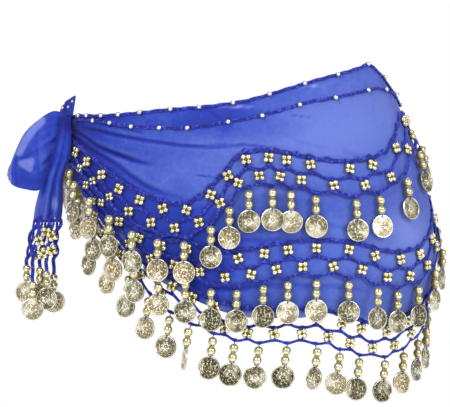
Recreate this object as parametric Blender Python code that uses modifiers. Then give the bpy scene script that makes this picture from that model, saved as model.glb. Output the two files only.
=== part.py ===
# Belly dance hip scarf, as worn: a chiffon wrap gathered into a knot at one side, with a bow loop and
# a tail, three crocheted net bands of flower posts, and coin drops along each band's lowest chain.
#
# Metres, +Z up. X runs from the knot's side to the other side, and the front faces -Y. The origin is
# the middle of the hips at belt height. Lengths below are in millimetres and angles in degrees:
# angle 0 is the front, 90 the side away from the knot, 180 the back and -82 (or 278) the knot.

import math

import bmesh
import bpy
import numpy as np

MM = 0.001
KNOT_ANGLE = -82.0

# The worn form: how far the cloth stands from the middle at each height.
FORM = {
    "height": (-260, -210, -170, -150, -120, -95, -45, 0, 40),
    "left":   (-158, -160, -164, -165, -166, -164, -160, -155, -150),
    "right":  (148, 150, 158, 164, 165, 161, 149, 132, 117),
    "front":  (106, 108, 112, 113.5, 114, 113, 108, 100, 92),
    "back":   (110, 112, 118, 122, 124, 122, 112, 98, 88),
}

# Heights of the top edge, of the stay chain, and of each band's middle chain, all round.
LINES = {
    "angle":  (-82, -62, -50, -43, -37, -31, -25, -19, -13, -7, -1, 6, 14, 24, 34, 44, 54, 62, 70, 77,
               84, 92, 106, 120, 150, 180, 210, 222, 235, 255, 278),
    "top":    (-10, -11, -11.5, -11, -10, -9, -7.5, -6.5, -5.5, -4, -2, 1.5, 7, 14, 20, 25, 30, 33, 25, 14,
               8, 4, 0, -2, -4, -5, -7, -7.5, -8, -9, -10),
    "stay":   (-15, -15, -17, -19.5, -21.5, -22.5, -23, -23.5, -22, -20, -17, -14, -9, -2, 2, 6, 10, 12, 11,
               9, 4, 0, -5, -8, -11, -12, -13, -13, -13, -14, -15),
    "band_a": (-40, -55, -70, -81, -88.5, -95, -100, -101.5, -94, -78, -61, -57, -59, -64, -66, -63, -55.5,
               -43, -31, -24, -20, -20, -24, -28, -36, -32, -36, -32, -28, -28, -40),
    "band_b": (-49, -67, -89, -104, -118, -128, -131, -133, -138.5, -142, -140.5, -136.5, -133.5, -133,
               -135.5, -142, -142.5, -139, -130, -120, -109, -98, -84, -72, -72, -68, -68, -58, -46, -43,
               -49),
    "band_c": (-58, -78, -104, -118, -134, -147.5, -160, -170, -177.5, -184, -188.5, -190, -190, -191.5,
               -198, -203.5, -203, -197, -189.5, -183, -177, -170, -146, -122, -116, -112, -106, -86, -64,
               -58, -58),
}

# Gathers: a row for each ridge or valley that runs out from the knot, from the top edge to the hem.
GATHERS = {
    "share":  (0, 0.10, 0.17, 0.25, 0.34, 0.42, 0.50, 0.60, 0.73, 0.86, 1),
    "relief": (0, 0.15, -0.8, 0.8, -1, 0.7, -0.4, 0.1, 0, 0, 0),
}
GATHER_DEPTH = 3.0
GATHER_REACH = 60.0
FULL_HEIGHT = 110.0
WRAP_WALL = 1.2
WRAP_COLUMNS = 48
WALK_STEPS = 1200

# Crocheted nets: each lies on the wrap, and a chain with the drops lies on its lower posts.
ROW_HEIGHT = 15.0
LOW_ROW_HEIGHT = 14.0
ROW_CLEARANCE = 2.6
CHAIN_HALF = 1.0
POST_WIDTH = 7.0
ZIGZAG = 0.2
NET_INSIDE = 0.8
NET_WALL = 1.4
STRIP_INSIDE = 3.1
STRIP_WALL = 1.4
END_GAP = 0.15

# A row for each band: first and last angle, where its front node ends, how many drops hang behind,
# and how far the drops lean.
BANDS = {
    "name":       ("a", "b", "c"),
    "first":      (-70.5, -62, -56),
    "split":      (92, 92, 92),
    "last":       (266, 258, 252),
    "back_drops": (16, 15, 14),
    "lean":       (0, -1, -8),
}

# Where the drops hang in front; behind, they are at even distances.
FRONT_DROPS = {
    "a": (-66.5, -58, -49.5, -41.5, -33.5, -25.5, -18, -10.5, -5, 1, 8, 13.5, 21, 34.5, 44, 59, 76, 87),
    "b": (-57.5, -49, -41, -33.5, -26, -18, -10.5, -3, 4.5, 11.5, 20, 30.5, 40, 51, 62, 73, 84),
    "c": (-51.5, -43.5, -36.5, -29.5, -22.5, -16, -9, -2.5, 5, 13.6, 22.7, 31.4, 39, 50.5, 61, 72, 83),
}

# How far each band's drops stand out over the band below, by angle.
STAND = {
    "angle": (-82, -63, -57, -45, -30, -22, -17, -10, -4, 100, 115, 205, 225, 278),
    "a":     (1, 1, 11, 11, 10.5, 9.5, 6, 1.5, 0, 0, 7.4, 7.4, 11, 11),
    "b":     (5.5, 5.5, 5.5, 5.5, 5.2, 4.8, 2, 0, 0, 0, 2.8, 2.8, 5.5, 5.5),
    "c":     (0, 0, 0, 0, 0, 0, 0, 0, 0, 0, 0, 0, 0, 0),
}

# A drop: two beads with a neck between them, then a coin.
DROP = {
    "below": (6.0, 9.7, 13.3),
    "half":  (3.0, 1.1, 3.0),
    "turn":  (0.2, 0.4, 0.7),
}
COLUMN_DEPTH = 5.8
COIN_TOP = 18.3
COIN_RADIUS = 9.8
COIN_SIDES = 8
COIN_HALF = 0.7
COIN_JOIN = 8.0
COIN_TURN = 10.0
COIN_SWAY = 3.0
SWAY_STEP = 2.4
EDGE_ON = 68.0
EDGE_ON_ROOM = 3.4
EDGE_ON_COINS = {"a": (24,), "b": (12,), "c": (5, 10, 21)}

# The knot is a lump on the wrap; the tip stands up out of it.
KNOT_MIDDLE = -27.0
KNOT_HALF_WIDTH = 6.6
KNOT_HALF_HEIGHT = 20.0
KNOT_RISE = 12.5
KNOT_FLOOR = 1.4
TIP_ANGLES = (-83, -79, -75, -71.5)
TIP_TOPS = (-4.0, -1.0, 3.5, 6.5)
TIP_ROOTS = (-13.0, -12.5, -12.0, -10.0)
TIP_LIFTS = (10.6, 10.4, 7.5, 3.4)
TIP_LEAN = 0.25
TIP_WALL = 1.3

# Bow loop, a row for each place along it: plan position, and its upper and lower edge.
BOW = {
    "x":     (-155.4, -160, -169, -181, -194, -203, -207, -203, -194, -184, -177, -173.9),
    "y":     (-32, -39, -41.3, -42.2, -38, -32, -25, -18, -14, -13, -14.5, -18),
    "upper": (-13, -9, -7, -14, -26, -43, -54, -43, -26, -15, -13, -16),
    "lower": (-46, -55, -66, -75.5, -74.5, -72, -69, -70, -72, -66, -52, -42),
}
BOW_WALL = 1.4
BOW_STEPS = 21
BOW_ROWS = 5
BOW_PUFF = 3.0

# Tail, a row for each height: its left and right edge, and how far forward they hang.
TAIL = {
    "height":  (-12, -28, -46, -65, -80, -90, -100),
    "left":    (-162.5, -165, -170, -177, -181.5, -184, -185.5),
    "right":   (-154, -153, -154.5, -160, -160.5, -160.5, -161.7),
    "y_left":  (-43.6, -46, -47.5, -48, -48, -48, -48),
    "y_right": (-37.2, -43, -46, -47.5, -48, -48, -48),
    "fold":    (0.2, 0.7, 1.4, 2.0, 2.4, 2.6, 2.6),
}
TAIL_WAVES = 2.5
TAIL_COLUMNS = 13
TAIL_WALL = 1.3

# Tail fringe, a row for each strand: its root, its coin's middle, and its depth.
FRINGE = {
    "root_x":      (-183.4, -178.4, -173.6, -168.8, -163.8),
    "end_x":       (-191.6, -185.8, -180.0, -174.2, -168.4),
    "coin_middle": (-164, -178, -166, -169, -172),
    "y":           (-44.5, -55, -48, -51.5, -41),
}
FRINGE_TOP = -100.6
FRINGE_BACKING = 2.4
FRINGE_HALF_WIDTH = 1.2
FRINGE_HALF_DEPTH = 1.0
FRINGE_SPREAD = 36.0
FRINGE_NECK = 1.5
FRINGE_NECK_HALF = 0.7
FRINGE_RINGS = {
    "height": (-112, -118, -126, -132, -142.5, -146.3, -150),
    "half":   (2.0, 0.8, 2.0, 0.8, 2.7, 0.9, 2.7),
}

COLOURS = {
    "chiffon": (0.075, 0.115, 0.60),
    "crochet": (0.014, 0.020, 0.36),
    "gilt":    (0.62, 0.55, 0.30),
}
FINISHES = {
    "chiffon": (0.62, 0.0),
    "crochet": (0.75, 0.0),
    "gilt":    (0.28, 1.0),
}


def smooth(x, xs, ys):
    """Height of the smooth curve through the points (xs, ys) at x."""
    xs = np.asarray(xs, float)
    ys = np.asarray(ys, float)
    x = np.clip(x, xs[0], xs[-1])
    slopes = np.gradient(ys, xs)
    i = np.clip(np.searchsorted(xs, x) - 1, 0, len(xs) - 2)
    width = xs[i + 1] - xs[i]
    t = (x - xs[i]) / width
    start = (2 * t**3 - 3 * t**2 + 1) * ys[i] + (t**3 - 2 * t**2 + t) * width * slopes[i]
    end = (3 * t**2 - 2 * t**3) * ys[i + 1] + (t**3 - t**2) * width * slopes[i + 1]
    return start + end


def line(name, angle):
    """Height of a named line at an angle."""
    return smooth(angle, LINES["angle"], LINES[name])


def rows(band, angle):
    """Heights of a band's upper and lower row of gaps, narrowed where the bands crowd together."""
    names = ("stay", "band_a", "band_b", "band_c")
    here = names.index("band_" + band)
    middle = line(names[here], angle)
    above = (line(names[here - 1], angle) - middle - ROW_CLEARANCE) / 2
    upper = np.minimum(ROW_HEIGHT, above)
    if band == "c":
        lower = LOW_ROW_HEIGHT * np.clip(above / ROW_HEIGHT + 0.25, 0.4, 1)
        return upper, lower
    below = (middle - line(names[here + 1], angle) - ROW_CLEARANCE) / 2
    return upper, np.minimum(ROW_HEIGHT, below)


def hem(angle):
    """Height of the wrap's lower edge, just under the top chain of the lowest band."""
    return line("band_c", angle) + rows("c", angle)[0] - CHAIN_HALF


def ring(angle, height):
    """Point of the worn form: an ellipse at each height, deeper or shallower front and back."""
    left, right, front, back = (smooth(height, FORM["height"], FORM[key])
                                for key in ("left", "right", "front", "back"))
    turn = np.radians(angle)
    depth = np.where(np.cos(turn) > 0, front, back)
    x = (left + right) / 2 + (right - left) / 2 * np.sin(turn)
    y = -depth * np.cos(turn)
    return np.stack([x, y, height + 0 * x], axis=-1)


def outward(angle, height):
    """Unit normal of the worn form."""
    step = 0.5
    along = ring(angle + step, height) - ring(angle - step, height)
    up = ring(angle, height + step) - ring(angle, height - step)
    normal = np.cross(along, up)
    return normal / np.linalg.norm(normal, axis=-1, keepdims=True)


def gather(angle, height):
    """How far the gathers lift the cloth, strongest at the knot."""
    top = line("top", angle)
    share = np.clip((top - height) / (top - hem(angle)), 0, 1)
    away = np.minimum(abs(angle - KNOT_ANGLE), abs(angle - KNOT_ANGLE - 360))
    strength = GATHER_DEPTH * np.exp(-(away / GATHER_REACH) ** 1.5)
    strength = strength * np.minimum(1, (top - hem(angle)) / FULL_HEIGHT)
    return strength * np.interp(share, GATHERS["share"], GATHERS["relief"])


def cloth(angle, height, out=0.0):
    """Point of the gathered cloth, moved out by a distance."""
    angle, height = np.broadcast_arrays(np.asarray(angle, float), np.asarray(height, float))
    lift = gather(angle, height) + out
    return ring(angle, height) + outward(angle, height) * lift[..., None]


def material(name):
    """Principled material in one of the part's colours."""
    made = bpy.data.materials.get(name) or bpy.data.materials.new(name)
    made.use_nodes = True
    shader = made.node_tree.nodes["Principled BSDF"]
    shader.inputs["Base Color"].default_value = (*COLOURS[name], 1)
    roughness, metallic = FINISHES[name]
    shader.inputs["Roughness"].default_value = roughness
    shader.inputs["Metallic"].default_value = metallic
    return made


def add_piece(name, points, faces, finish, wall=0.0, side=1.0):
    """Object from points in millimetres; a wall gives an open surface its thickness."""
    mesh = bpy.data.meshes.new(name)
    mesh.from_pydata((np.asarray(points) * MM).tolist(), [], faces)
    mesh.materials.append(material(finish))
    piece = bpy.data.objects.new(name, mesh)
    parts.objects.link(piece)
    if wall:
        shell = piece.modifiers.new("wall", "SOLIDIFY")
        shell.thickness = wall * MM
        shell.offset = side
    else:
        shaped = bmesh.new()
        shaped.from_mesh(mesh)
        bmesh.ops.recalc_face_normals(shaped, faces=shaped.faces)
        shaped.to_mesh(mesh)
        shaped.free()
    return piece


def grid_faces(columns, row_count, closed=False):
    """Quads of a grid of points stored row by row, facing out when rows run down."""
    faces = []
    for row in range(row_count - 1):
        for column in range(columns if closed else columns - 1):
            after = (column + 1) % columns
            upper = row * columns
            lower = upper + columns
            faces.append((lower + column, lower + after, upper + after, upper + column))
    return faces


def make_wrap():
    """The chiffon: rings of points from the top edge to the hem."""
    angle = KNOT_ANGLE + np.arange(WRAP_COLUMNS) * 360 / WRAP_COLUMNS
    share = np.asarray(GATHERS["share"], float)[:, None]
    height = line("top", angle) + share * (hem(angle) - line("top", angle))
    points = cloth(angle[None, :] + 0 * share, height).reshape(-1, 3)
    faces = grid_faces(WRAP_COLUMNS, len(share), closed=True)
    add_piece("chiffon_wrap", points, faces, "chiffon", wall=WRAP_WALL, side=-1.0)


def make_chain(name, edge, drop):
    """A flat crocheted chain along one of the lines, from one side of the knot to the other."""
    columns = KNOT_ANGLE + np.arange(WRAP_COLUMNS) * 360 / WRAP_COLUMNS
    angle = columns[(columns > BANDS["first"][0]) & (columns < BANDS["last"][0])]
    height = line(edge, angle) - drop
    upper = cloth(angle, height + CHAIN_HALF, NET_INSIDE)
    lower = cloth(angle, height - CHAIN_HALF, NET_INSIDE)
    points = np.concatenate([upper, lower])
    add_piece(name, points, grid_faces(len(angle), 2), "crochet", wall=NET_WALL)


def band_ends(band, side):
    """First and last angle of one of a band's two nodes."""
    row = BANDS["name"].index(band)
    if side == "front":
        return BANDS["first"][row], BANDS["split"][row]
    return BANDS["split"][row], BANDS["last"][row]


def band_places(band, side):
    """Angles of the drops of one of a band's nodes, and of its ends and the places between drops."""
    first, last = band_ends(band, side)
    if side == "front":
        drops = np.asarray(FRONT_DROPS[band], float)
    else:
        angle = np.linspace(first, last, WALK_STEPS)
        steps = np.diff(ring(angle, line("band_" + band, angle)), axis=0)
        distance = np.concatenate([[0], np.cumsum(np.linalg.norm(steps, axis=1))])
        count = BANDS["back_drops"][BANDS["name"].index(band)]
        drops = np.interp((np.arange(count) + 0.5) / count * distance[-1], distance, angle)
    between = (drops[1:] + drops[:-1]) / 2
    return drops, np.concatenate([[first], between, [last]])


def moved(band, side, angle, distance):
    """Angle after a distance along a band's middle chain, kept just inside the node's ends."""
    first, last = band_ends(band, side)
    height = line("band_" + band, angle)
    degree = np.linalg.norm(ring(angle + 0.5, height) - ring(angle - 0.5, height), axis=-1)
    return np.clip(angle + distance / degree, first + END_GAP / degree, last - END_GAP / degree)


def make_net(band, side):
    """Hexagonal net: a straight chain, flower posts, a zigzag chain and lower posts."""
    posts, dips = band_places(band, side)
    half = POST_WIDTH / 2

    def place(middle, offset, level, above):
        angle = moved(band, side, middle, offset)
        upper, lower = rows(band, angle)
        level_height = {"top": upper, "peak": ZIGZAG * upper, "dip": -ZIGZAG * lower,
                        "foot": -lower + 2 * ZIGZAG * lower}[level]
        return cloth(angle, line("band_" + band, angle) + level_height + above, NET_INSIDE)

    groups = {
        "top_upper": place(dips, 0, "top", CHAIN_HALF),
        "top_lower": place(dips, 0, "top", -CHAIN_HALF),
        "head": place(posts, 0, "top", CHAIN_HALF),
        "head_left": place(posts, -half, "top", -CHAIN_HALF),
        "head_right": place(posts, half, "top", -CHAIN_HALF),
        "peak_left": place(posts, -half, "peak", CHAIN_HALF),
        "peak_right": place(posts, half, "peak", CHAIN_HALF),
        "peak_foot": place(posts, 0, "peak", -CHAIN_HALF),
        "dip_head": place(dips, 0, "dip", CHAIN_HALF),
        "dip_left": place(dips, -half, "dip", -CHAIN_HALF),
        "dip_right": place(dips, half, "dip", -CHAIN_HALF),
        "foot_left": place(dips, -half, "foot", -CHAIN_HALF),
        "foot_right": place(dips, half, "foot", -CHAIN_HALF),
    }
    start = {}
    points = []
    for name, group in groups.items():
        start[name] = len(points)
        points.extend(group)

    def corner(name, index):
        return start[name] + index

    def face(*corners):
        return tuple(corner(name, index) for name, index in corners)

    faces = []
    for i in range(len(posts)):
        n = i + 1
        faces.append(face(("top_lower", i), ("head_left", i), ("head", i), ("top_upper", i)))
        faces.append(face(("head_left", i), ("head_right", i), ("head", i)))
        faces.append(face(("head_right", i), ("top_lower", n), ("top_upper", n), ("head", i)))
        faces.append(face(("peak_left", i), ("peak_right", i), ("head_right", i), ("head_left", i)))
        faces.append(face(("peak_foot", i), ("peak_right", i), ("peak_left", i)))
        faces.append(face(("dip_right", i), ("peak_foot", i), ("peak_left", i), ("dip_head", i)))
        faces.append(face(("peak_foot", i), ("dip_left", n), ("dip_head", n), ("peak_right", i)))
    for j in range(len(dips)):
        faces.append(face(("dip_left", j), ("dip_right", j), ("dip_head", j)))
        faces.append(face(("foot_left", j), ("foot_right", j), ("dip_right", j), ("dip_left", j)))
    add_piece(f"net_{band}_{side}", points, faces, "crochet", wall=NET_WALL)


class Solid:
    """Points and faces of a closed shape that is put together ring by ring."""

    def __init__(self):
        self.points = []
        self.faces = []

    def add(self, points):
        first = len(self.points)
        self.points.extend(np.asarray(points, float))
        return list(range(first, len(self.points)))

    def bridge(self, near, far):
        """Four quads between two rings of four corners."""
        for k in range(4):
            n = (k + 1) % 4
            self.faces.append((near[k], near[n], far[n], far[k]))

    def drop(self, root, middles, halves, turns, aside, out, coin_middle, coin_turn, down):
        """Strand of rings from a root ring to a coin, which closes it."""
        last = root
        for middle, half, turn in zip(middles, halves, turns):
            across, through = turned(aside, out, turn)
            corners = [(-1, 1), (1, 1), (1, -1), (-1, -1)]
            here = self.add([middle + half * (a * across + b * through) for a, b in corners])
            self.bridge(last, here)
            last = here
        across, _ = turned(aside, out, coin_turn)
        across = across - down * np.dot(across, down)
        across = across / np.linalg.norm(across)
        through = np.cross(down, across)
        if np.dot(through, turned(aside, out, coin_turn)[1]) < 0:
            through = -through
        join = math.radians(COIN_JOIN)
        bearings = join + np.arange(COIN_SIDES) * (2 * math.pi - 2 * join) / (COIN_SIDES - 1)
        rim = [coin_middle + COIN_RADIUS * (math.sin(b) * across - math.cos(b) * down) for b in bearings]
        outer = self.add([p + COIN_HALF * through for p in rim])
        inner = self.add([p - COIN_HALF * through for p in rim])
        self.bridge(last, [outer[-1], outer[0], inner[0], inner[-1]])
        self.faces.append(tuple(outer))
        self.faces.append(tuple(reversed(inner)))
        for k in range(COIN_SIDES - 1):
            self.faces.append((outer[k], inner[k], inner[k + 1], outer[k + 1]))


def turned(aside, out, degrees):
    """The sideways and outward directions, turned about the plumb line."""
    turn = math.radians(degrees)
    across = math.cos(turn) * aside + math.sin(turn) * out
    through = math.cos(turn) * out - math.sin(turn) * aside
    return across, through


def make_drops(band, side):
    """Lowest chain of a band, with a coin drop fused to it at each dip."""
    drops, dips = band_places(band, side)
    before = 0 if side == "front" else len(FRONT_DROPS[band])
    solid = Solid()

    def place(middle, offset, above, out):
        angle = moved(band, side, middle, offset)
        lower = rows(band, angle)[1]
        return cloth(angle, line("band_" + band, angle) - lower + above * lower, STRIP_INSIDE + out)

    def lowered(point, amount):
        return point - np.array([0, 0, amount])

    peaks = []
    for dip in dips:
        outer = place(dip, 0, 2 * ZIGZAG, STRIP_WALL)
        inner = place(dip, 0, 2 * ZIGZAG, 0)
        peaks.append(solid.add([lowered(outer, -CHAIN_HALF), lowered(outer, CHAIN_HALF),
                                lowered(inner, CHAIN_HALF), lowered(inner, -CHAIN_HALF)]))
    for i, angle in enumerate(drops):
        head = solid.add([lowered(place(angle, 0, 0, STRIP_WALL), -CHAIN_HALF),
                          lowered(place(angle, 0, 0, 0), -CHAIN_HALF)])
        left = solid.add([lowered(place(angle, -CHAIN_HALF, 0, STRIP_WALL), CHAIN_HALF),
                          lowered(place(angle, -CHAIN_HALF, 0, 0), CHAIN_HALF)])
        right = solid.add([lowered(place(angle, CHAIN_HALF, 0, STRIP_WALL), CHAIN_HALF),
                           lowered(place(angle, CHAIN_HALF, 0, 0), CHAIN_HALF)])
        solid.bridge(peaks[i], [head[0], left[0], left[1], head[1]])
        solid.bridge([head[0], right[0], right[1], head[1]], peaks[i + 1])
        solid.faces.append((head[0], left[0], right[0]))
        solid.faces.append((head[1], right[1], left[1]))
        add_drop(solid, band, before + i, angle, [left[0], right[0], right[1], left[1]])
    solid.faces.append(tuple(peaks[0]))
    solid.faces.append(tuple(reversed(peaks[-1])))
    add_piece(f"drops_{band}_{side}", solid.points, solid.faces, "gilt")


def add_drop(solid, band, number, angle, root):
    """One drop, plumb or leaning, following the cloth where it widens below the root."""
    start = np.mean([solid.points[k] for k in root], axis=0)
    out = outward(angle, start[2]) * np.array([1, 1, 0])
    out = out / np.linalg.norm(out)
    aside = np.array([-out[1], out[0], 0])
    extra = np.interp(angle, STAND["angle"], STAND[band])
    stand = extra + COLUMN_DEPTH
    turn = (COIN_TURN + COIN_SWAY * math.sin(SWAY_STEP * number)) * STRIP_INSIDE / (STRIP_INSIDE + extra)
    if number in EDGE_ON_COINS[band]:
        turn = EDGE_ON
        stand = max(stand, EDGE_ON_ROOM + COIN_RADIUS * math.sin(math.radians(EDGE_ON)))
    below = np.array([*DROP["below"], COIN_TOP, COIN_TOP + 2 * COIN_RADIUS])
    wall = cloth(angle + 0 * below, start[2] - below)
    reach = np.maximum.accumulate((wall - cloth(angle, start[2])) @ out)
    foot = cloth(angle, start[2])
    lean = math.radians(BANDS["lean"][BANDS["name"].index(band)])
    sideways = math.tan(lean) * below
    middles = [foot + out * (stand + r) + aside * s - np.array([0, 0, b])
               for r, s, b in zip(reach, sideways, below)]
    down = middles[4] - middles[3]
    down = down / np.linalg.norm(down)
    coin_middle = middles[3] + down * COIN_RADIUS
    turns = [turn * share for share in DROP["turn"]]
    solid.drop(root, middles[:3], DROP["half"], turns, aside, out, coin_middle, turn, down)


def make_knot():
    """The tie: a ball drawn out upwards, with its inner half pressed flat on the wrap."""
    mesh = bpy.data.meshes.new("knot")
    ball = bmesh.new()
    bmesh.ops.create_uvsphere(ball, u_segments=14, v_segments=8, radius=1)
    for vertex in ball.verts:
        across, rise, along = vertex.co.x, -vertex.co.y, vertex.co.z
        angle = KNOT_ANGLE + KNOT_HALF_WIDTH * across
        height = KNOT_MIDDLE + KNOT_HALF_HEIGHT * along
        lift = KNOT_FLOOR + KNOT_RISE * max(0.0, rise)
        vertex.co = (ring(angle, height) + lift * outward(angle, height)) * MM
    bmesh.ops.recalc_face_normals(ball, faces=ball.faces)
    ball.to_mesh(mesh)
    ball.free()
    mesh.materials.append(material("chiffon"))
    parts.objects.link(bpy.data.objects.new("knot", mesh))


def make_tip():
    """The short end that stands up out of the knot, rooted on the knot's upper face."""
    angle = np.asarray(TIP_ANGLES, float)
    share = np.linspace(0, 1, 4)[:, None]
    height = np.asarray(TIP_TOPS) + share * (np.asarray(TIP_ROOTS) - np.asarray(TIP_TOPS))
    lift = np.asarray(TIP_LIFTS) * (1 - TIP_LEAN * (1 - share))
    points = cloth(angle + 0 * share, height, lift).reshape(-1, 3)
    add_piece("knot_tip", points, grid_faces(len(angle), 4), "chiffon", wall=TIP_WALL)


def make_bow():
    """The bow loop: one strip out from the knot, round its end and back."""
    places = np.arange(len(BOW["x"]))
    along = np.linspace(0, len(places) - 1, BOW_STEPS)
    x, y, upper, lower = (smooth(along, places, BOW[key]) for key in ("x", "y", "upper", "lower"))
    share = np.linspace(0, 1, BOW_ROWS + 1)[:, None]
    path = np.stack([x, y], axis=-1)
    heading = np.gradient(path, axis=0)
    heading = heading / np.linalg.norm(heading, axis=1, keepdims=True)
    puff = BOW_PUFF * np.sin(math.pi * share) * np.sin(math.pi * along / along[-1])
    points = np.stack([x - puff * heading[:, 1], y + puff * heading[:, 0],
                       upper + share * (lower - upper)], axis=-1)
    add_piece("bow_loop", points.reshape(-1, 3), grid_faces(BOW_STEPS, BOW_ROWS + 1), "chiffon",
              wall=BOW_WALL, side=0.0)


def make_tail():
    """The hanging end, in folds that open towards its hem."""
    share = np.linspace(0, 1, TAIL_COLUMNS)
    height = np.asarray(TAIL["height"], float)[:, None]
    left, right, near, far, fold = (np.asarray(TAIL[key], float)[:, None]
                                    for key in ("left", "right", "y_left", "y_right", "fold"))
    x = left + share * (right - left)
    y = near + share * (far - near) - fold * np.cos(2 * math.pi * TAIL_WAVES * share)
    points = np.stack([x, y, height + 0 * x], axis=-1).reshape(-1, 3)
    add_piece("tail", points, grid_faces(TAIL_COLUMNS, len(height)), "chiffon", wall=TAIL_WALL, side=0.0)


def make_fringe():
    """The gathered ends of the nets under the tail: a backing with five strands and their coins."""
    solid = Solid()
    aside = np.array([1.0, 0, 0])
    out = np.array([0, -1.0, 0])
    down = np.array([0, 0, -1.0])
    depth = TAIL["y_left"][-1]
    last = None
    for root_x, end_x, coin_middle, y in zip(*FRINGE.values()):
        left, right = (solid.add([(root_x + across, depth + back, FRINGE_TOP - down_by)
                                  for back, down_by in ((-FRINGE_HALF_DEPTH, 0),
                                                        (-FRINGE_HALF_DEPTH, FRINGE_BACKING),
                                                        (FRINGE_HALF_DEPTH, FRINGE_BACKING),
                                                        (FRINGE_HALF_DEPTH, 0))])
                       for across in (-FRINGE_HALF_WIDTH, FRINGE_HALF_WIDTH))
        if last:
            solid.bridge(last, left)
        else:
            solid.faces.append(tuple(left))
        solid.faces.append((left[0], left[1], right[1], right[0]))
        solid.faces.append((left[2], left[3], right[3], right[2]))
        solid.faces.append((left[3], left[0], right[0], right[3]))
        last = right
        share = np.clip((FRINGE_TOP - np.asarray(FRINGE_RINGS["height"])) / FRINGE_SPREAD, 0, 1)
        middles = [np.array([root_x + s * (end_x - root_x), depth + s * (y - depth), h])
                   for s, h in zip(share, FRINGE_RINGS["height"])]
        halves = list(FRINGE_RINGS["half"])
        middles.append(np.array([end_x, y, coin_middle + COIN_RADIUS + FRINGE_NECK]))
        halves.append(FRINGE_NECK_HALF)
        solid.drop([left[1], right[1], right[2], left[2]], middles, halves, [0] * len(middles), aside, out,
                   np.array([end_x, y, coin_middle]), 0, down)
    solid.faces.append(tuple(reversed(last)))
    add_piece("tail_fringe", solid.points, solid.faces, "gilt")


for leftover in list(bpy.data.objects):
    bpy.data.objects.remove(leftover, do_unlink=True)
parts = bpy.data.collections.new("belly_dance_hip_scarf")
bpy.context.scene.collection.children.link(parts)

make_wrap()
make_chain("waist_chain", "top", 0.4)
make_chain("stay_chain", "stay", 0.0)
for band_name in BANDS["name"]:
    for band_side in ("front", "back"):
        make_net(band_name, band_side)
        make_drops(band_name, band_side)
make_knot()
make_tip()
make_bow()
make_tail()
make_fringe()
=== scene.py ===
import math

import bmesh
import bpy
import numpy as np
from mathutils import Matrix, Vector


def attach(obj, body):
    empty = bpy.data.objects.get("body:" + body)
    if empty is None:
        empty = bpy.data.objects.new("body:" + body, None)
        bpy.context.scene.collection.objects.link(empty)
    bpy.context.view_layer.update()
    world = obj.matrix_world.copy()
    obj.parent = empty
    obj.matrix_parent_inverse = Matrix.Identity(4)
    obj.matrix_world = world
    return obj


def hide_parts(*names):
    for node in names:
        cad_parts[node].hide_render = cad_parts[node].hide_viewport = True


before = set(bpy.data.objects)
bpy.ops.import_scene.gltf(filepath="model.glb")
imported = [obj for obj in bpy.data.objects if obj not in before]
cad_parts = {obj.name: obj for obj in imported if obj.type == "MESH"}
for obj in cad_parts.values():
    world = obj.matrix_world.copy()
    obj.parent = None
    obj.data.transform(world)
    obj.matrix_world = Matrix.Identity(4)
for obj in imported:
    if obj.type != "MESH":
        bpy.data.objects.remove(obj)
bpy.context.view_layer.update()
mm = 0.001
draw = np.random.default_rng(11)
print("frame loaded")

# The worn form, in millimetres and degrees: angle 0 is the front, 90 the far side, -82 the knot.
worn = {
    "height": (-260, -210, -170, -150, -120, -95, -45, 0, 40),
    "left": (-158, -160, -164, -165, -166, -164, -160, -155, -150),
    "right": (148, 150, 158, 164, 165, 161, 149, 132, 117),
    "front": (106, 108, 112, 113.5, 114, 113, 108, 100, 92),
    "back": (110, 112, 118, 122, 124, 122, 112, 98, 88),
    "knotAngle": -82.0,
    "gatherShare": (0, 0.10, 0.17, 0.25, 0.34, 0.42, 0.50, 0.60, 0.73, 0.86, 1),
    "gatherRelief": (0, 0.15, -0.8, 0.8, -1, 0.7, -0.4, 0.1, 0, 0, 0),
    "gatherDepth": 3.0,
    "gatherReach": 60.0,
    "fullHeight": 110.0,
}
lines = {
    "angle": (-82, -62, -50, -43, -37, -31, -25, -19, -13, -7, -1, 6, 14, 24, 34, 44, 54, 62, 70, 77,
              84, 92, 106, 120, 150, 180, 210, 222, 235, 255, 278),
    "top": (-10, -11, -11.5, -11, -10, -9, -7.5, -6.5, -5.5, -4, -2, 1.5, 7, 14, 20, 25, 30, 33, 25, 14,
            8, 4, 0, -2, -4, -5, -7, -7.5, -8, -9, -10),
    "stay": (-15, -15, -17, -19.5, -21.5, -22.5, -23, -23.5, -22, -20, -17, -14, -9, -2, 2, 6, 10, 12, 11,
             9, 4, 0, -5, -8, -11, -12, -13, -13, -13, -14, -15),
    "a": (-40, -55, -70, -81, -88.5, -95, -100, -101.5, -94, -78, -61, -57, -59, -64, -66, -63, -55.5,
          -43, -31, -24, -20, -20, -24, -28, -36, -32, -36, -32, -28, -28, -40),
    "b": (-49, -67, -89, -104, -118, -128, -131, -133, -138.5, -142, -140.5, -136.5, -133.5, -133,
          -135.5, -142, -142.5, -139, -130, -120, -109, -98, -84, -72, -72, -68, -68, -58, -46, -43,
          -49),
    "c": (-58, -78, -104, -118, -134, -147.5, -160, -170, -177.5, -184, -188.5, -190, -190, -191.5,
          -198, -203.5, -203, -197, -189.5, -183, -177, -170, -146, -122, -116, -112, -106, -86, -64,
          -58, -58),
}
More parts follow.
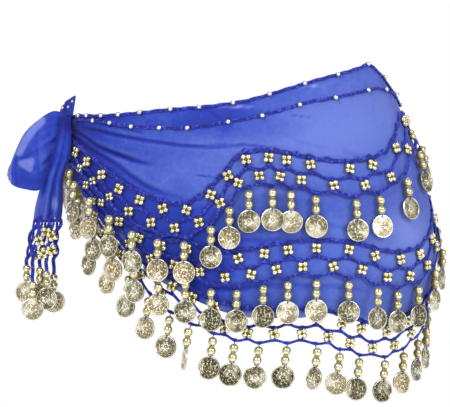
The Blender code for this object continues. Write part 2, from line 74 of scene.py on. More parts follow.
bands = {
    "rowHeight": 15.0, "lowRowHeight": 14.0, "clearance": 2.6, "chainHalf": 1.0,
    "zigzag": 0.11, "foot": 0.8, "netOut": 1.5, "stripOut": 3.8, "postSize": 0.9,
    "chainSize": {"a": (1.45, 1.15, 1.05), "b": (1.3, 1.1, 1.0), "c": (1.25, 1.0, 0.9)},
    "knotSwell": 0.5, "knotReach": 0.16,
    "ends": {"a": (-70.5, 92, 266), "b": (-62, 92, 258), "c": (-56, 92, 252)},
    "behind": {"a": 16, "b": 15, "c": 14},
    "lean": {"a": 0, "b": -1, "c": -8},
    "a": (-66.5, -58, -49.5, -41.5, -33.5, -25.5, -18, -10.5, -5, 1, 8, 13.5, 21, 34.5, 44, 59, 76, 87),
    "b": (-57.5, -49, -41, -33.5, -26, -18, -10.5, -3, 4.5, 11.5, 20, 30.5, 40, 51, 62, 73, 84),
    "c": (-51.5, -43.5, -36.5, -29.5, -22.5, -16, -9, -2.5, 5, 13.6, 22.7, 31.4, 39, 50.5, 61, 72, 83),
}


def smoothCurve(x, xs, ys):
    # Hermite curve through the points, with each slope read from its neighbours.
    xs, ys = np.asarray(xs, float), np.asarray(ys, float)
    x = np.clip(x, xs[0], xs[-1])
    slopes = np.gradient(ys, xs)
    i = np.clip(np.searchsorted(xs, x) - 1, 0, len(xs) - 2)
    width = xs[i + 1] - xs[i]
    t = (x - xs[i]) / width
    start = (2 * t**3 - 3 * t**2 + 1) * ys[i] + (t**3 - 2 * t**2 + t) * width * slopes[i]
    end = (3 * t**2 - 2 * t**3) * ys[i + 1] + (t**3 - t**2) * width * slopes[i + 1]
    return start + end


def lineHeight(name, angle):
    return smoothCurve(angle, lines["angle"], lines[name])


def netRows(band, angle):
    # Heights of a band's upper and lower row, half the way to the next line where bands crowd.
    order = ("stay", "a", "b", "c")
    here = order.index(band)
    middle = lineHeight(band, angle)
    above = (lineHeight(order[here - 1], angle) - middle - bands["clearance"]) / 2
    upper = np.minimum(bands["rowHeight"], above)
    if band == "c":
        return upper, bands["lowRowHeight"] * np.clip(above / bands["rowHeight"] + 0.25, 0.4, 1)
    below = (middle - lineHeight(order[here + 1], angle) - bands["clearance"]) / 2
    return upper, np.minimum(bands["rowHeight"], below)


def hemHeight(angle):
    return lineHeight("c", angle) + netRows("c", angle)[0] - bands["chainHalf"]


def formPoint(angle, height):
    # x = middle + half width * sin(angle), y = -depth * cos(angle), with front and back depths.
    left, right, front, back = (smoothCurve(height, worn["height"], worn[key])
                                for key in ("left", "right", "front", "back"))
    turn = np.radians(angle)
    depth = np.where(np.cos(turn) > 0, front, back)
    x = (left + right) / 2 + (right - left) / 2 * np.sin(turn)
    return np.stack([x, -depth * np.cos(turn), height + 0 * x], axis=-1)


def formNormal(angle, height):
    # Cross product of the form's directions along and up, each read over a small step to both sides.
    step = 0.5
    along = formPoint(angle + step, height) - formPoint(angle - step, height)
    up = formPoint(angle, height + step) - formPoint(angle, height - step)
    return unit(np.cross(along, up))


def unit(v):
    return v / np.maximum(np.linalg.norm(v, axis=-1, keepdims=True), 1e-12)


def gatherLift(angle, height):
    # Ridges and valleys that run out from the knot and fade with the distance from it.
    top, hem = lineHeight("top", angle), hemHeight(angle)
    share = np.clip((top - height) / (top - hem), 0, 1)
    away = np.minimum(abs(angle - worn["knotAngle"]), abs(angle - worn["knotAngle"] - 360))
    strength = worn["gatherDepth"] * np.exp(-(away / worn["gatherReach"]) ** 1.5)
    strength = strength * np.minimum(1, (top - hem) / worn["fullHeight"])
    return strength * np.interp(share, worn["gatherShare"], worn["gatherRelief"])


def clothPoint(angle, height, out=0.0):
    # Form point + normal * (gathers + distance off the cloth).
    angle, height = np.broadcast_arrays(np.asarray(angle, float), np.asarray(height, float))
    lift = gatherLift(angle, height) + out
    return formPoint(angle, height) + formNormal(angle, height) * lift[..., None]


def bandPlaces(band, side):
    # Angles of the drops, and of the ends and the places between drops.
    first, split, last = bands["ends"][band]
    if side == "front":
        low, high, drops = first, split, np.asarray(bands[band], float)
    else:
        low, high = split, last
        angle = np.linspace(low, high, 1200)
        steps = np.diff(formPoint(angle, lineHeight(band, angle)), axis=0)
        distance = np.concatenate([[0], np.cumsum(np.linalg.norm(steps, axis=1))])
        count = bands["behind"][band]
        drops = np.interp((np.arange(count) + 0.5) / count * distance[-1], distance, angle)
    return drops, np.concatenate([[low], (drops[1:] + drops[:-1]) / 2, [high]])


def gridFaces(rows, columns, wrapped):
    # Quads of a grid of points that is stored row by row.
    row = np.arange(rows - 1)[:, None]
    column = np.arange(columns if wrapped else columns - 1)[None, :]
    after = (column + 1) % columns
    here, below = row * columns, (row + 1) * columns
    return np.stack(np.broadcast_arrays(here + column, here + after, below + after, below + column),
                    axis=-1).reshape(-1, 4)


class Bundle:  # Grids of points that are joined into one mesh, with numbers marked on their points.
    def __init__(self):
        self.points, self.faces, self.marks, self.count = [], [], [], 0

    def add(self, grid, wrapped=True, **marks):
        rows, columns = grid.shape[:2]
        self.faces.append(gridFaces(rows, columns, wrapped) + self.count)
        self.points.append(grid.reshape(-1, 3))
        self.marks.append({key: np.broadcast_to(value, (rows, columns)).ravel()
                           for key, value in marks.items()})
        self.count += rows * columns

    def addMany(self, shape, centres, frames, **marks):
        # The same small grid at every centre, turned by its own frame of three directions.
        for grid in centres[:, None, None, :] + np.einsum("rcd,kde->krce", shape, frames):
            self.add(grid, **marks)


def makePiece(name, bundle, material, replaces=(), wall=0.0, closed=True):
    points = np.concatenate(bundle.points) * mm
    faces = np.concatenate(bundle.faces)
    mesh = bpy.data.meshes.new(name)
    mesh.from_pydata(points.tolist(), [], faces.tolist())
    for key in bundle.marks[0]:
        values = np.concatenate([mark[key] for mark in bundle.marks]).astype(np.float32)
        mesh.attributes.new(key, "FLOAT", "POINT").data.foreach_set("value", values)
    if closed:
        work = bmesh.new()
        work.from_mesh(mesh)
        bmesh.ops.remove_doubles(work, verts=work.verts, dist=1e-7)
        bmesh.ops.recalc_face_normals(work, faces=work.faces)
        work.to_mesh(mesh)
        work.free()
    mesh.shade_smooth()
    mesh.materials.append(material)
    piece = bpy.data.objects.new(name, mesh)
    bpy.context.scene.collection.objects.link(piece)
    if wall:
        shell = piece.modifiers.new("wall", "SOLIDIFY")
        shell.thickness = wall * mm
        shell.offset = -1
    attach(piece, "root")
    if replaces:
        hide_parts(*replaces)
    return piece


def tube(path, normals, radius, sides):
    # A circle carried along the path; the end rings shrink to a point and close it.
    radius = np.reshape(radius, (-1, 1, 1))
    tangent = unit(np.gradient(path, axis=0))
    across = unit(np.cross(tangent, normals))
    out = np.cross(across, tangent)
    turn = np.arange(sides) * 2 * math.pi / sides
    ring = np.cos(turn)[None, :, None] * across[:, None] + np.sin(turn)[None, :, None] * out[:, None]
    body = path[:, None] + radius * ring
    return np.concatenate([np.repeat(path[:1, None], sides, 1), body, np.repeat(path[-1:, None], sides, 1)])


def ball(radius, segments, rings, flat=1.0):
    # Latitude rings of a sphere, with its poles on the third axis.
    lat = np.linspace(0, math.pi, rings + 1)[:, None]
    lon = np.arange(segments)[None, :] * 2 * math.pi / segments
    return radius * np.stack([np.sin(lat) * np.cos(lon), np.sin(lat) * np.sin(lon),
                              flat * np.cos(lat) + 0 * lon], axis=-1)


def resample(path, step, *others):
    # Points at even distances along a path, with whatever goes with its points.
    distance = np.concatenate([[0], np.cumsum(np.linalg.norm(np.diff(path, axis=0), axis=1))])
    count = max(3, int(distance[-1] / step) + 1)
    here = np.linspace(0, distance[-1], count)
    read = [np.stack([np.interp(here, distance, column) for column in values.T], axis=-1)
            for values in (path, *others)]
    return here, read


plait = {"pitch": 5.2, "across": 0.85, "out": 0.42, "radius": 0.60, "step": 0.9, "sides": 4, "strands": 3,
         "uneven": 0.35}


def addPlait(bundle, path, normals, size=1.0):
    # Three strands: each swings across as sin(s) and in and out as sin(2 s), a third of a turn apart.
    size = np.broadcast_to(np.reshape(size, (-1, 1)), (len(path), 1))
    here, (path, normals, size) = resample(path, plait["step"], normals, size)
    tangent = unit(np.gradient(path, axis=0))
    across = unit(np.cross(tangent, normals))
    for strand in range(plait["strands"]):
        phase = 2 * math.pi * (here / plait["pitch"] + strand / plait["strands"])
        swing = plait["across"] * (1 + plait["uneven"] * np.sin(here / 1.3 + 2.1 * strand)) * np.sin(phase)
        centre = (path + size * swing[:, None] * across
                  + size * plait["out"] * np.sin(2 * phase)[:, None] * normals)
        bundle.add(tube(centre, normals, size * plait["radius"], plait["sides"]))


class Value:  # A shader socket on which ordinary arithmetic adds Math nodes.
    def __init__(self, shader, socket):
        self.shader, self.socket = shader, socket

    def maths(self, operation, first, second=0.0):
        return self.shader.node("ShaderNodeMath", {"operation": operation}, {0: first, 1: second})

    def __add__(self, other): return self.maths("ADD", self, other)
    def __radd__(self, other): return self.maths("ADD", other, self)
    def __sub__(self, other): return self.maths("SUBTRACT", self, other)
    def __rsub__(self, other): return self.maths("SUBTRACT", other, self)
    def __mul__(self, other): return self.maths("MULTIPLY", self, other)
    def __rmul__(self, other): return self.maths("MULTIPLY", other, self)
    def above(self, other): return self.maths("MAXIMUM", self, other)
    def below(self, other): return self.maths("MINIMUM", self, other)
    def limited(self): return self.above(0.0).below(1.0)


class Shader:  # A material or a world that is put together node by node.
    def __init__(self, name, kind="materials", base="Principled BSDF", **fixed):
        self.material = getattr(bpy.data, kind).new(name)
        self.material.use_nodes = True
        self.tree = self.material.node_tree
        self.base = self.tree.nodes[base]
        for key, value in fixed.items():
            self.base.inputs[key.replace("_", " ")].default_value = value

    def node(self, kind, settings=None, inputs=None, output=0):
        made = self.tree.nodes.new(kind)
        for key, value in (settings or {}).items():
            setattr(made, key, value)
        for key, value in (inputs or {}).items():
            if isinstance(value, Value):
                self.tree.links.new(value.socket, made.inputs[key])
            else:
                made.inputs[key].default_value = value
        return Value(self, made.outputs[output])

    def mark(self, name):
        return self.node("ShaderNodeAttribute", {"attribute_name": name}, output=2)

    def mix(self, factor, first, second):
        colours = {6: (*first, 1) if isinstance(first, tuple) else first,
                   7: (*second, 1) if isinstance(second, tuple) else second, 0: factor}
        return self.node("ShaderNodeMix", {"data_type": "RGBA"}, colours, output=2)

    def noise(self, scale, detail=2.0, where=None):
        inputs = {"Scale": scale, "Detail": detail}
        inputs["Vector"] = where or self.node("ShaderNodeTexCoord", output=3)
        return self.node("ShaderNodeTexNoise", {}, inputs)

    def bump(self, height, distance, strength=1.0):
        made = self.node("ShaderNodeBump", {}, {"Height": height, "Distance": distance,
                                                "Strength": strength})
        self.feed("Normal", made)

    def feed(self, name, value):
        self.tree.links.new(value.socket, self.base.inputs[name])


# Materials
finishes = {
    # Painted shade and light: the chiffon's dark and middle colours are shaded copies of its lit blue, and
    # its pale colour is painted pale light.
    "chiffonShade": (0.004, 0.006, 0.17),
    "chiffonHalfShade": (0.010, 0.033, 0.355),
    "chiffonLit": (0.074, 0.122, 0.468),
    "chiffonPaleLight": (0.27, 0.32, 0.72),
    "crochetDark": (0.004, 0.009, 0.22),
    "crochetGlint": (0.045, 0.085, 0.76),
    "goldDark": (0.15, 0.12, 0.04),
    "goldDeep": (0.55, 0.49, 0.23),
    "goldPale": (1.0, 0.96, 0.73),
    "silverDark": (0.09, 0.10, 0.12),
    "silverMid": (0.55, 0.58, 0.60),
    "silverPale": (0.97, 0.98, 1.0),
    "coinDark": (0.06, 0.055, 0.03),
    "coinMid": (0.46, 0.42, 0.26),
    "coinGilt": (0.50, 0.36, 0.15),
    "coinPale": (1.0, 0.97, 0.86),
}


weave = {"cloud": (20.0, 3.0, 0.30), "mottle": (75.0, 2.0, 0.24), "fleck": (260.0, 2.0, 0.30),
         "grain": (1600.0, 1.0, 0.25), "crinkle": (160.0, 3.0), "relief": 0.0005}


def makeChiffon():
    # The tone mark with three noises on it runs over dark, middle and lit, as painted shade and painted
    # light; the pale mark adds a pale layer of painted light.
    s = Shader("chiffon weave", Roughness=0.66, Specular_IOR_Level=0.22, Sheen_Weight=0.10,
               Sheen_Roughness=0.5)
    shade = s.mark("tone")
    for scale, detail, share in (weave["cloud"], weave["mottle"], weave["fleck"]):
        shade = shade + (s.noise(scale, detail) - 0.5) * share
    shade = shade.limited()
    colour = s.mix((shade * 2.0).limited(), finishes["chiffonShade"], finishes["chiffonHalfShade"])
    colour = s.mix((shade * 2.0 - 1.0).limited(), colour, finishes["chiffonLit"])
    colour = s.mix(s.mark("thin"), colour, finishes["chiffonPaleLight"])
    s.feed("Base Color", colour)
    scale, detail, share = weave["grain"]
    s.bump(s.noise(scale, detail) * share + s.noise(*weave["crinkle"]), weave["relief"], 0.5)
    return s.material


def makeCrochet():
    # Dark thread with glints, where a fine fibre noise and a coarser patch noise are both high.
    s = Shader("crochet thread", Roughness=0.68, Specular_IOR_Level=0.35, Sheen_Weight=0.12)
    fibre = s.noise(900.0, 3.0)
    patch = s.noise(420.0, 2.0)
    glint = ((fibre - 0.47) * 2.8 + (patch - 0.52) * 6.0).limited()
    s.feed("Base Color", s.mix(glint, finishes["crochetDark"], finishes["crochetGlint"]))
    s.bump(fibre, 0.0003, 0.8)
    return s.material


beadMetals = {
    "gilt bead": {"colours": ("goldDark", "goldDeep", "goldPale"), "grain": (260.0, 3.0), "from": 0.35,
                  "gain": 2.2, "dull": 0.16, "dents": 700.0},
    "silver bead": {"colours": ("silverDark", "silverMid", "silverPale"), "grain": (400.0, 2.0),
                    "from": 0.30, "gain": 2.0, "dull": 0.14},
}


def makeBeadMetal(name):
    # Polished and worn metal where the bright mark is 1, and where it is 0 a dull dark rim: painted shade on
    # the beads, and the flowers' eyes in their own dark colour.
    look = beadMetals[name]
    dark, deep, pale = (finishes[colour] for colour in look["colours"])
    s = Shader(name, Specular_IOR_Level=0.15)
    wear = s.noise(*look["grain"])
    bead = s.mix(((wear - look["from"]) * look["gain"]).limited(), deep, pale)
    bright = s.mark("bright")
    s.feed("Base Color", s.mix(bright, dark, bead))
    s.feed("Metallic", 0.05 + bright * 0.95)
    s.feed("Roughness", 0.60 - bright * 0.50 + wear * look["dull"])
    if "dents" in look:
        s.bump(s.noise(look["dents"], 2.0), 0.0001, 0.4)
    return s.material


# The coins' stamping, in shares of the radius: shared by the finish and by the shape.
stamp = {"rim": 0.94, "dots": 13, "dotRing": 0.77, "marks": 0.59, "petals": 8, "rosette": 0.43,
         "gap": 0.13, "boss": 0.09}


def makeCoin():
    # Rim line, a ring of dots, a worn rosette and small marks, from each coin's own x and y in radii.
    s = Shader("stamped coin", Metallic=0.92)
    x, y, shine = s.mark("coinX"), s.mark("coinY"), s.mark("shine")
    radius = s.node("ShaderNodeMath", {"operation": "SQRT"}, {0: x * x + y * y})
    turn = s.node("ShaderNodeMath", {"operation": "ARCTAN2"}, {0: y, 1: x})
    where = s.node("ShaderNodeCombineXYZ", {}, {"X": x, "Y": y, "Z": shine * 9.0})
    fine = s.noise(4.8, 2.5, where)

    def ring(middle, half):  # 1 at a radius, 0 beyond half a width from it
        off = s.node("ShaderNodeMath", {"operation": "ABSOLUTE"}, {0: radius - middle})
        return ((half - off) * 24.0).limited()

    def waves(count, twist=0.0):
        return s.node("ShaderNodeMath", {"operation": "COSINE"}, {0: turn * count + radius * twist})

    dots = ring(stamp["dotRing"], 0.06) * ((waves(stamp["dots"]) - 0.30) * 4.0).limited()
    petals = ((stamp["rosette"] + waves(stamp["petals"], 5.0) * 0.09 - radius) * 14.0).limited()
    petals = petals * ((fine - 0.42) * 9.0).limited() * ((radius - stamp["gap"]) * 16.0).limited()
    rosette = petals + ((stamp["boss"] - radius) * 20.0).limited()
    marks = ring(stamp["marks"], 0.09) * ((fine - 0.50) * 12.0).limited()
    raised = ring(stamp["rim"], 0.07).above(dots).above(rosette).above(marks)
    # Painted reflection: the glare is a soft bright patch across each coin, and the shine mark lightens the
    # whole coin as well as choosing its gilt colour.
    glare = ((s.noise(0.9, 1.0, where) - 0.46) * 7.0).limited()
    tone = 0.20 + shine * 0.38 + glare * 0.48 + (raised - 0.4) * 0.62
    gilt = ((shine * 3.0 - 1.4).limited() - (shine * 3.0 - 2.1).limited()).limited()
    middle = s.mix(gilt, finishes["coinMid"], finishes["coinGilt"])
    colour = s.mix((tone * 2.0).limited(), finishes["coinDark"], middle)
    s.feed("Base Color", s.mix((tone * 2.0 - 1.0).limited(), colour, finishes["coinPale"]))
    s.feed("Roughness", 0.38 - raised * 0.20)
    s.bump(raised + s.noise(9.0, 3.0, where) * 0.3, 0.0010, 0.6)
    return s.material


chiffon, crochet, coinMetal = makeChiffon(), makeCrochet(), makeCoin()
gold, silver = makeBeadMetal("gilt bead"), makeBeadMetal("silver bead")
print("materials made")

# The chiffon. Its tone is painted shade and painted light, and its pale value is painted pale light where a
# single layer lets the light through and where a highlight falls. A patch has a tone or a pale value, a
# middle and its spread, and limits with soft edges.
# A crease runs as heights over the angle.
wrap = {
    "columns": 420, "rows": 92, "wall": 0.5, "shadeGain": 1.35, "depthGain": 1.3, "tone": 0.78,
    "arc": 2.8, "knotTone": -0.72, "knotSpan": 34, "stripEdge": (-2, 3),
    "lowHem": {"drop": 7.5, "fromAngle": (-36, -24), "toAngle": (16, 30)},
    "thinHem": {"thin": 0.9, "fromAngle": (-48, -30), "toAngle": (56, 70), "toHeight": (3.0, 5.5)},
    "strip": [{"tone": -0.10, "toAngle": (62, 78)},
              {"tone": -0.20, "angle": -6, "wide": 17, "toAngle": (62, 78)}],
    "fold": {"at": (-72, -58, -43.5, -30, -17, 0), "line": (-28, -39, -54, -74.5, -84, -84),
             "edge": (-3, 9), "toAngle": (-20, 4), "tone": -0.30},
    "slant": {"angle": 36, "height": -24, "wide": 34, "rise": 60, "fall": 26, "tone": 0.14, "thin": 0.16},
    "patches": [
        {"tone": 0.12, "fromAngle": (-20, 30), "toAngle": (70, 95), "fromHeight": (-90, -40)},
        {"tone": 0.26, "fromAngle": (-10, 30), "toAngle": (72, 86), "toHeight": (-120, -85)},
        {"tone": -0.85, "fromAngle": (66, 80), "toAngle": (100, 112), "toHeight": (-152, -132)},
        {"tone": -0.10, "toHeight": (-130, -105)},
        {"tone": -0.24, "angle": 74, "wide": 7, "fromHeight": (-62, -35)},
        {"tone": -0.26, "angle": -5, "wide": 15, "height": -22, "high": 11},
        {"tone": -0.16, "angle": 14, "wide": 9, "height": -24, "high": 12},
        {"tone": -0.12, "angle": -18, "wide": 8, "height": -42, "high": 8},
        {"tone": 0.36, "angle": 60, "wide": 11, "height": -122, "high": 15},
        {"thin": 0.30, "angle": 57, "wide": 14, "height": -114, "high": 30},
        {"thin": 0.70, "angle": -41, "wide": 2.2, "height": -116, "high": 5},
        {"thin": 0.70, "angle": -35.5, "wide": 2.0, "height": -128, "high": 5},
        {"thin": 0.70, "angle": -29, "wide": 2.0, "height": -140, "high": 5},
        {"thin": 0.70, "angle": 0, "wide": 5, "height": -5.2, "high": 0.9},
        {"thin": 0.70, "angle": 28.3, "wide": 3.6, "height": 13.0, "high": 0.8},
    ],
    "creases": [  # angles, heights, width, depth, shade
        ((-76, -62, -54.5, -43.5, -36, -28), (-21, -29, -36.5, -45, -50.5, -55), 1.9, 1.5, 0.50),
        ((-70, -55, -44, -30, -13, 3, 14), (-21, -23.5, -28.5, -34, -39.4, -38.4, -40.4), 1.5, 0.9, 0.34),
        ((-56, -43, -33), (-17.5, -21.5, -26.5), 1.5, 0.6, 0.22),
        ((-72, -58, -43.5, -30, -17), (-28, -39, -54, -74.5, -84), 2.2, 1.2, 0.34),
        ((-50, -38, -28), (-60, -72, -83), 1.6, 0.7, 0.18),
        ((-21, 2, 8, 16), (-38.6, -37.6, -39.5, -39.6), 0.8, 0.5, 0.30),
        ((-16, -7), (-63.6, -64), 0.8, 0.5, 0.28),
        ((17, 26), (-12, -14), 0.9, 0.5, 0.26),
        ((-10.5, -4.5), (-5.5, -18.5), 1.4, 0.4, 0.10),
        ((31, 47, 60), (-40, -50, -41), 2.6, 0.5, 0.10),
        ((17, 31), (-34, -42), 2.0, 0.5, 0.10),
        ((64, 78, 90), (-30, -62, -96), 3.0, 0.8, 0.16),
        ((20, 34, 50), (-102, -110, -104), 2.4, 0.6, 0.14),
        ((-14, 4, 18), (-112, -118, -114), 2.4, 0.6, 0.14),
        ((-22, -6, 10, 30, 52), (-151, -158, -156, -158, -166), 2.6, 0.6, 0.14),
        ((100, 130, 160), (-20, -30, -24), 2.2, 0.8, 0.20),
        ((120, 150, 190), (-56, -60, -52), 2.4, 0.8, 0.18),
        ((96, 112, 126), (-60, -88, -104), 2.6, 0.8, 0.16),
        ((200, 222, 246, 270), (-22, -21, -20, -20), 1.6, 0.9, 0.34),
        ((205, 230, 250, 270), (-54, -42, -30, -25), 1.9, 1.0, 0.34),
        ((215, 238, 258), (-64, -46, -36), 1.6, 0.8, 0.26),
    ],
}


def creaseField(angle, height):
    # Each crease is a trough with a soft ridge on both sides, narrowing to nothing at its ends; its shade is
    # painted shade, dark in the trough and a little lighter on the ridges.
    lift, shade = np.zeros_like(height), np.zeros_like(height)
    for at, heights, width, depth, dark in wrap["creases"]:
        slope = np.gradient(smoothCurve(angle[0], at, heights), angle[0]) / wrap["arc"]
        distance = (height - smoothCurve(angle, at, heights)) / np.sqrt(1 + slope**2) / width
        share = np.clip((angle - at[0]) / (at[-1] - at[0]), 0, 1)
        fade = np.clip(5 * share, 0, 1) * np.clip(4 * (1 - share), 0, 1)
        trough = np.exp(-distance**2)
        ridge = np.exp(-(abs(distance) - 2.0) ** 2)
        lift += depth * fade * (0.45 * ridge - trough)
        shade += dark * fade * (0.22 * ridge - trough)
    return wrap["depthGain"] * lift, wrap["shadeGain"] * shade


def softStep(x, low, high):
    # 3 t^2 - 2 t^3, as t goes from 0 at the low value to 1 at the high one.
    t = np.clip((x - low) / (high - low), 0, 1)
    return t * t * (3 - 2 * t)


def patchShare(patch, angle, height):
    # Bell curves about the middle that a patch names, times soft steps at the limits that it names.
    # On the tail, the angle's place is taken by x or by the share of the width.
    share = np.ones_like(angle + height)
    for x, middle, spread, rise, fall in ((angle, "angle", "wide", "fromAngle", "toAngle"),
                                          (height, "height", "high", "fromHeight", "toHeight")):
        if middle in patch:
            share = share * np.exp(-((x - patch[middle]) / patch[spread]) ** 2)
        if rise in patch:
            share = share * softStep(x, *patch[rise])
        if fall in patch:
            share = share * (1 - softStep(x, *patch[fall]))
    return share


def makeCloth(name, node, points, wall, tone, thin, wrapped=False):
    # A piece of chiffon: a grid of points with its tone mark of painted shade and light and its mark of
    # painted pale light, and a wall behind it.
    bundle = Bundle()
    bundle.add(points, wrapped, tone=np.clip(tone, 0, 1), thin=thin)
    return makePiece(name, bundle, chiffon, (node,), wall, closed=False)


def makeWrap():
    # Rings from the top edge to the hem, on the solid's own form, with the creases pressed in.
    angle = worn["knotAngle"] + np.arange(wrap["columns"]) * 360 / wrap["columns"]
    share = np.linspace(0, 1, wrap["rows"])[:, None]
    top = lineHeight("top", angle)
    hem = hemHeight(angle)
    hem = hem - wrap["lowHem"]["drop"] * patchShare(wrap["lowHem"], angle, hem)
    height = top + share * (hem - top)
    angle = angle + 0 * share
    lift, shade = creaseField(angle, height)
    # Painted shade: darker near the knot, added to the creases' painted shade.
    away = np.minimum(angle - worn["knotAngle"], worn["knotAngle"] + 360 - angle)
    tone = wrap["tone"] + shade + wrap["knotTone"] * np.exp(-(away / wrap["knotSpan"]) ** 2)
    # Painted shade below the fold line that runs down on the knot's side.
    fold = wrap["fold"]
    below = softStep(smoothCurve(angle, fold["at"], fold["line"]) - height, *fold["edge"])
    tone += fold["tone"] * below * patchShare(fold, angle, height)
    # Painted shade in the strip above the stay chain.
    inStrip = softStep(height - lineHeight("stay", angle), *wrap["stripEdge"])
    for patch in wrap["strip"]:
        tone += patch["tone"] * inStrip * patchShare(patch, angle, height)
    # A painted highlight running slantwise, in tone and in pale light.
    slant = wrap["slant"]
    right, up = (angle - slant["angle"]) / slant["wide"], height - slant["height"]
    across, beside = right + up / slant["rise"], right - up / slant["fall"]
    tone += slant["tone"] * np.exp(-across**2 / 4 - beside**2 * 0.7)
    thin = slant["thin"] * np.exp(-across**2 / 3 - beside**2 * 0.9)
    # Painted pale light along the hem, in patches, where a single layer lets the light through.
    patchy = 0.45 + 0.55 * np.sin(angle / 3.1) * np.sin(angle / 7.3 + 1)
    thin += wrap["thinHem"]["thin"] * patchy * patchShare(wrap["thinHem"], angle, height - hem)
    # Patches of painted shade and painted light, in tone and in pale light.
    for patch in wrap["patches"]:
        amount = patchShare(patch, angle, height)
        tone += patch.get("tone", 0) * amount
        thin += patch.get("thin", 0) * amount
    return makeCloth("chiffonWrap", "chiffon_wrap", clothPoint(angle, height, lift), wrap["wall"], tone,
                     np.clip(thin, 0, 0.95), wrapped=True)


wrapPiece = makeWrap()
print("chiffon made")

# Waist chain and stay chain
edgeChains = {"waistChain": ("top", 0.4, "waist_chain"), "stayChain": ("stay", 0.0, "stay_chain"),
              "out": 1.3, "size": 1.15, "points": 900}


def makeEdgeChain(name):
    # One plait along the line, a little below the cloth's edge.
    line, drop, node = edgeChains[name]
    first, _, last = bands["ends"]["a"]
    angle = np.linspace(first, last, edgeChains["points"])
    height = lineHeight(line, angle) - drop
    bundle = Bundle()
    path = clothPoint(angle, height, edgeChains["out"])
    addPlait(bundle, path, formNormal(angle, height), edgeChains["size"])
    return makePiece(name, bundle, crochet, (node,))


trims = [makeEdgeChain("waistChain"), makeEdgeChain("stayChain")]

beadRows = {
    "top": (-67, -60.5, -51.5, -43, -33.8, -22.2, -12.2, -0.8, 12, 25.5, 40.5, 60, 71.8, 84, 97,
            *range(110, 251, 14), 262),
    "stay": (-56, -46.8, -37.2, -26.5, -16.8, -3.2, 8.2, 21.8, 36.5, 54, 68, 80, 93,
             *range(106, 247, 14), 258),
    "radius": 2.15, "drop": 0.3, "out": 2.9,
}


def bandFrames(angle, height, turn=0.0):
    # Aside, up and outward directions of the cloth, turned about the outward one.
    out = formNormal(angle, height)
    aside = unit(np.cross(np.array([0, 0, 1.0]), out))
    up = np.cross(out, aside)
    turn = np.asarray(turn)[..., None] + 0 * aside[..., :1]
    return np.stack([np.cos(turn) * aside + np.sin(turn) * up,
                     np.cos(turn) * up - np.sin(turn) * aside, out], axis=-2)


def facing(shape, axis, radius, low=0.0, high=0.62):
    # 1 on the side of a bead that faces outwards, and 0 from a ring near its waist to the cloth: painted
    # shade on the bead's half towards the cloth.
    return softStep(shape[..., axis] / radius, low, high)


def makeSilverBeads():
    bundle = Bundle()
    bead = ball(beadRows["radius"], 12, 8)
    for line in ("top", "stay"):
        angle = np.asarray(beadRows[line], float)
        height = lineHeight(line, angle) - beadRows["drop"]
        # Painted shade on each bead's half towards the cloth.
        bundle.addMany(bead, clothPoint(angle, height, beadRows["out"]), bandFrames(angle, height),
                       bright=facing(bead, 2, beadRows["radius"]))
    return makePiece("silverBeads", bundle, silver)


trims.append(makeSilverBeads())
print("edge chains made")

# Nets and flowers
net = {"rows": ((("top", "top"), "netOut", 0.5), (("dip", "peak"), "netOut", 0.3),
                (("foot", "low"), "stripOut", 0.4)), "steps": 14, "postSteps": 8}
flower = {"spread": 2.15, "bead": 2.45, "eye": 1.3, "eyeOut": 0.2, "out": 3.0, "turn": 0.4,
          "uneven": 0.07, "fullPost": 9.0, "smallest": 0.84}


def levels(band, angle, level):
    # Height of one of the lines on which a net's chains turn: the middle line + a share of a row.
    upper, lower = netRows(band, angle)
    share = {"top": upper, "peak": bands["zigzag"] * upper, "dip": -bands["zigzag"] * lower,
             "foot": -bands["foot"] * lower, "low": -lower}
    return lineHeight(band, angle) + share[level]


def wavePath(band, keys, names, out, droop):
    # Runs from key to key, half as a straight line and half as a hanging curve.
    runs = [np.linspace(a, b, net["steps"])[:-1] for a, b in zip(keys, keys[1:])]
    angle = np.concatenate(runs + [keys[-1:]])
    part = np.interp(angle, keys, np.arange(len(keys)))
    left = np.minimum(part.astype(int), len(keys) - 2)
    t = part - left
    heights = np.array([float(levels(band, a, n)) for a, n in zip(keys, names)])
    blend = 0.5 * t + 0.5 * (0.5 - 0.5 * np.cos(math.pi * t))
    height = heights[left] * (1 - blend) + heights[left + 1] * blend
    base = levels(band, angle, names[0]) - np.interp(angle, keys, levels(band, keys, names[0]))
    height = height + base - droop * np.sin(math.pi * t)
    swell = 1 + bands["knotSwell"] * np.exp(-(np.minimum(t, 1 - t) / bands["knotReach"]) ** 2)
    return angle, height, clothPoint(angle, height, out), swell


def bandPosts(band, side):
    # The two rows of posts: their angles, the levels that each joins, and how far out its foot stands.
    posts, dips = bandPlaces(band, side)
    return (posts, "top", "peak", bands["netOut"]), (dips[1:-1], "dip", "foot", bands["stripOut"])


def makeNet(band, side):
    # Three chains that turn at every drop and half way between, and the posts that join them.
    posts, dips = bandPlaces(band, side)
    keys = np.empty(len(posts) + len(dips))
    keys[0::2], keys[1::2] = dips, posts
    bundle = Bundle()
    for (names, out, droop), size in zip(net["rows"], bands["chainSize"][band]):
        named = [names[k % 2] for k in range(len(keys))]
        angle, height, path, swell = wavePath(band, keys, named, bands[out], droop)
        addPlait(bundle, path, formNormal(angle, height), size * swell)
    for places, first, second, outer in bandPosts(band, side):
        for angle in places:
            height = np.linspace(*(float(levels(band, angle, level)) for level in (first, second)),
                                 net["postSteps"])
            out = np.linspace(bands["netOut"], outer, net["postSteps"])
            path = clothPoint(angle, height, out)
            addPlait(bundle, path, formNormal(angle + 0 * height, height), bands["postSize"])
    return makePiece(f"net{band.upper()}{side.title()}", bundle, crochet, (f"net_{band}_{side}",))


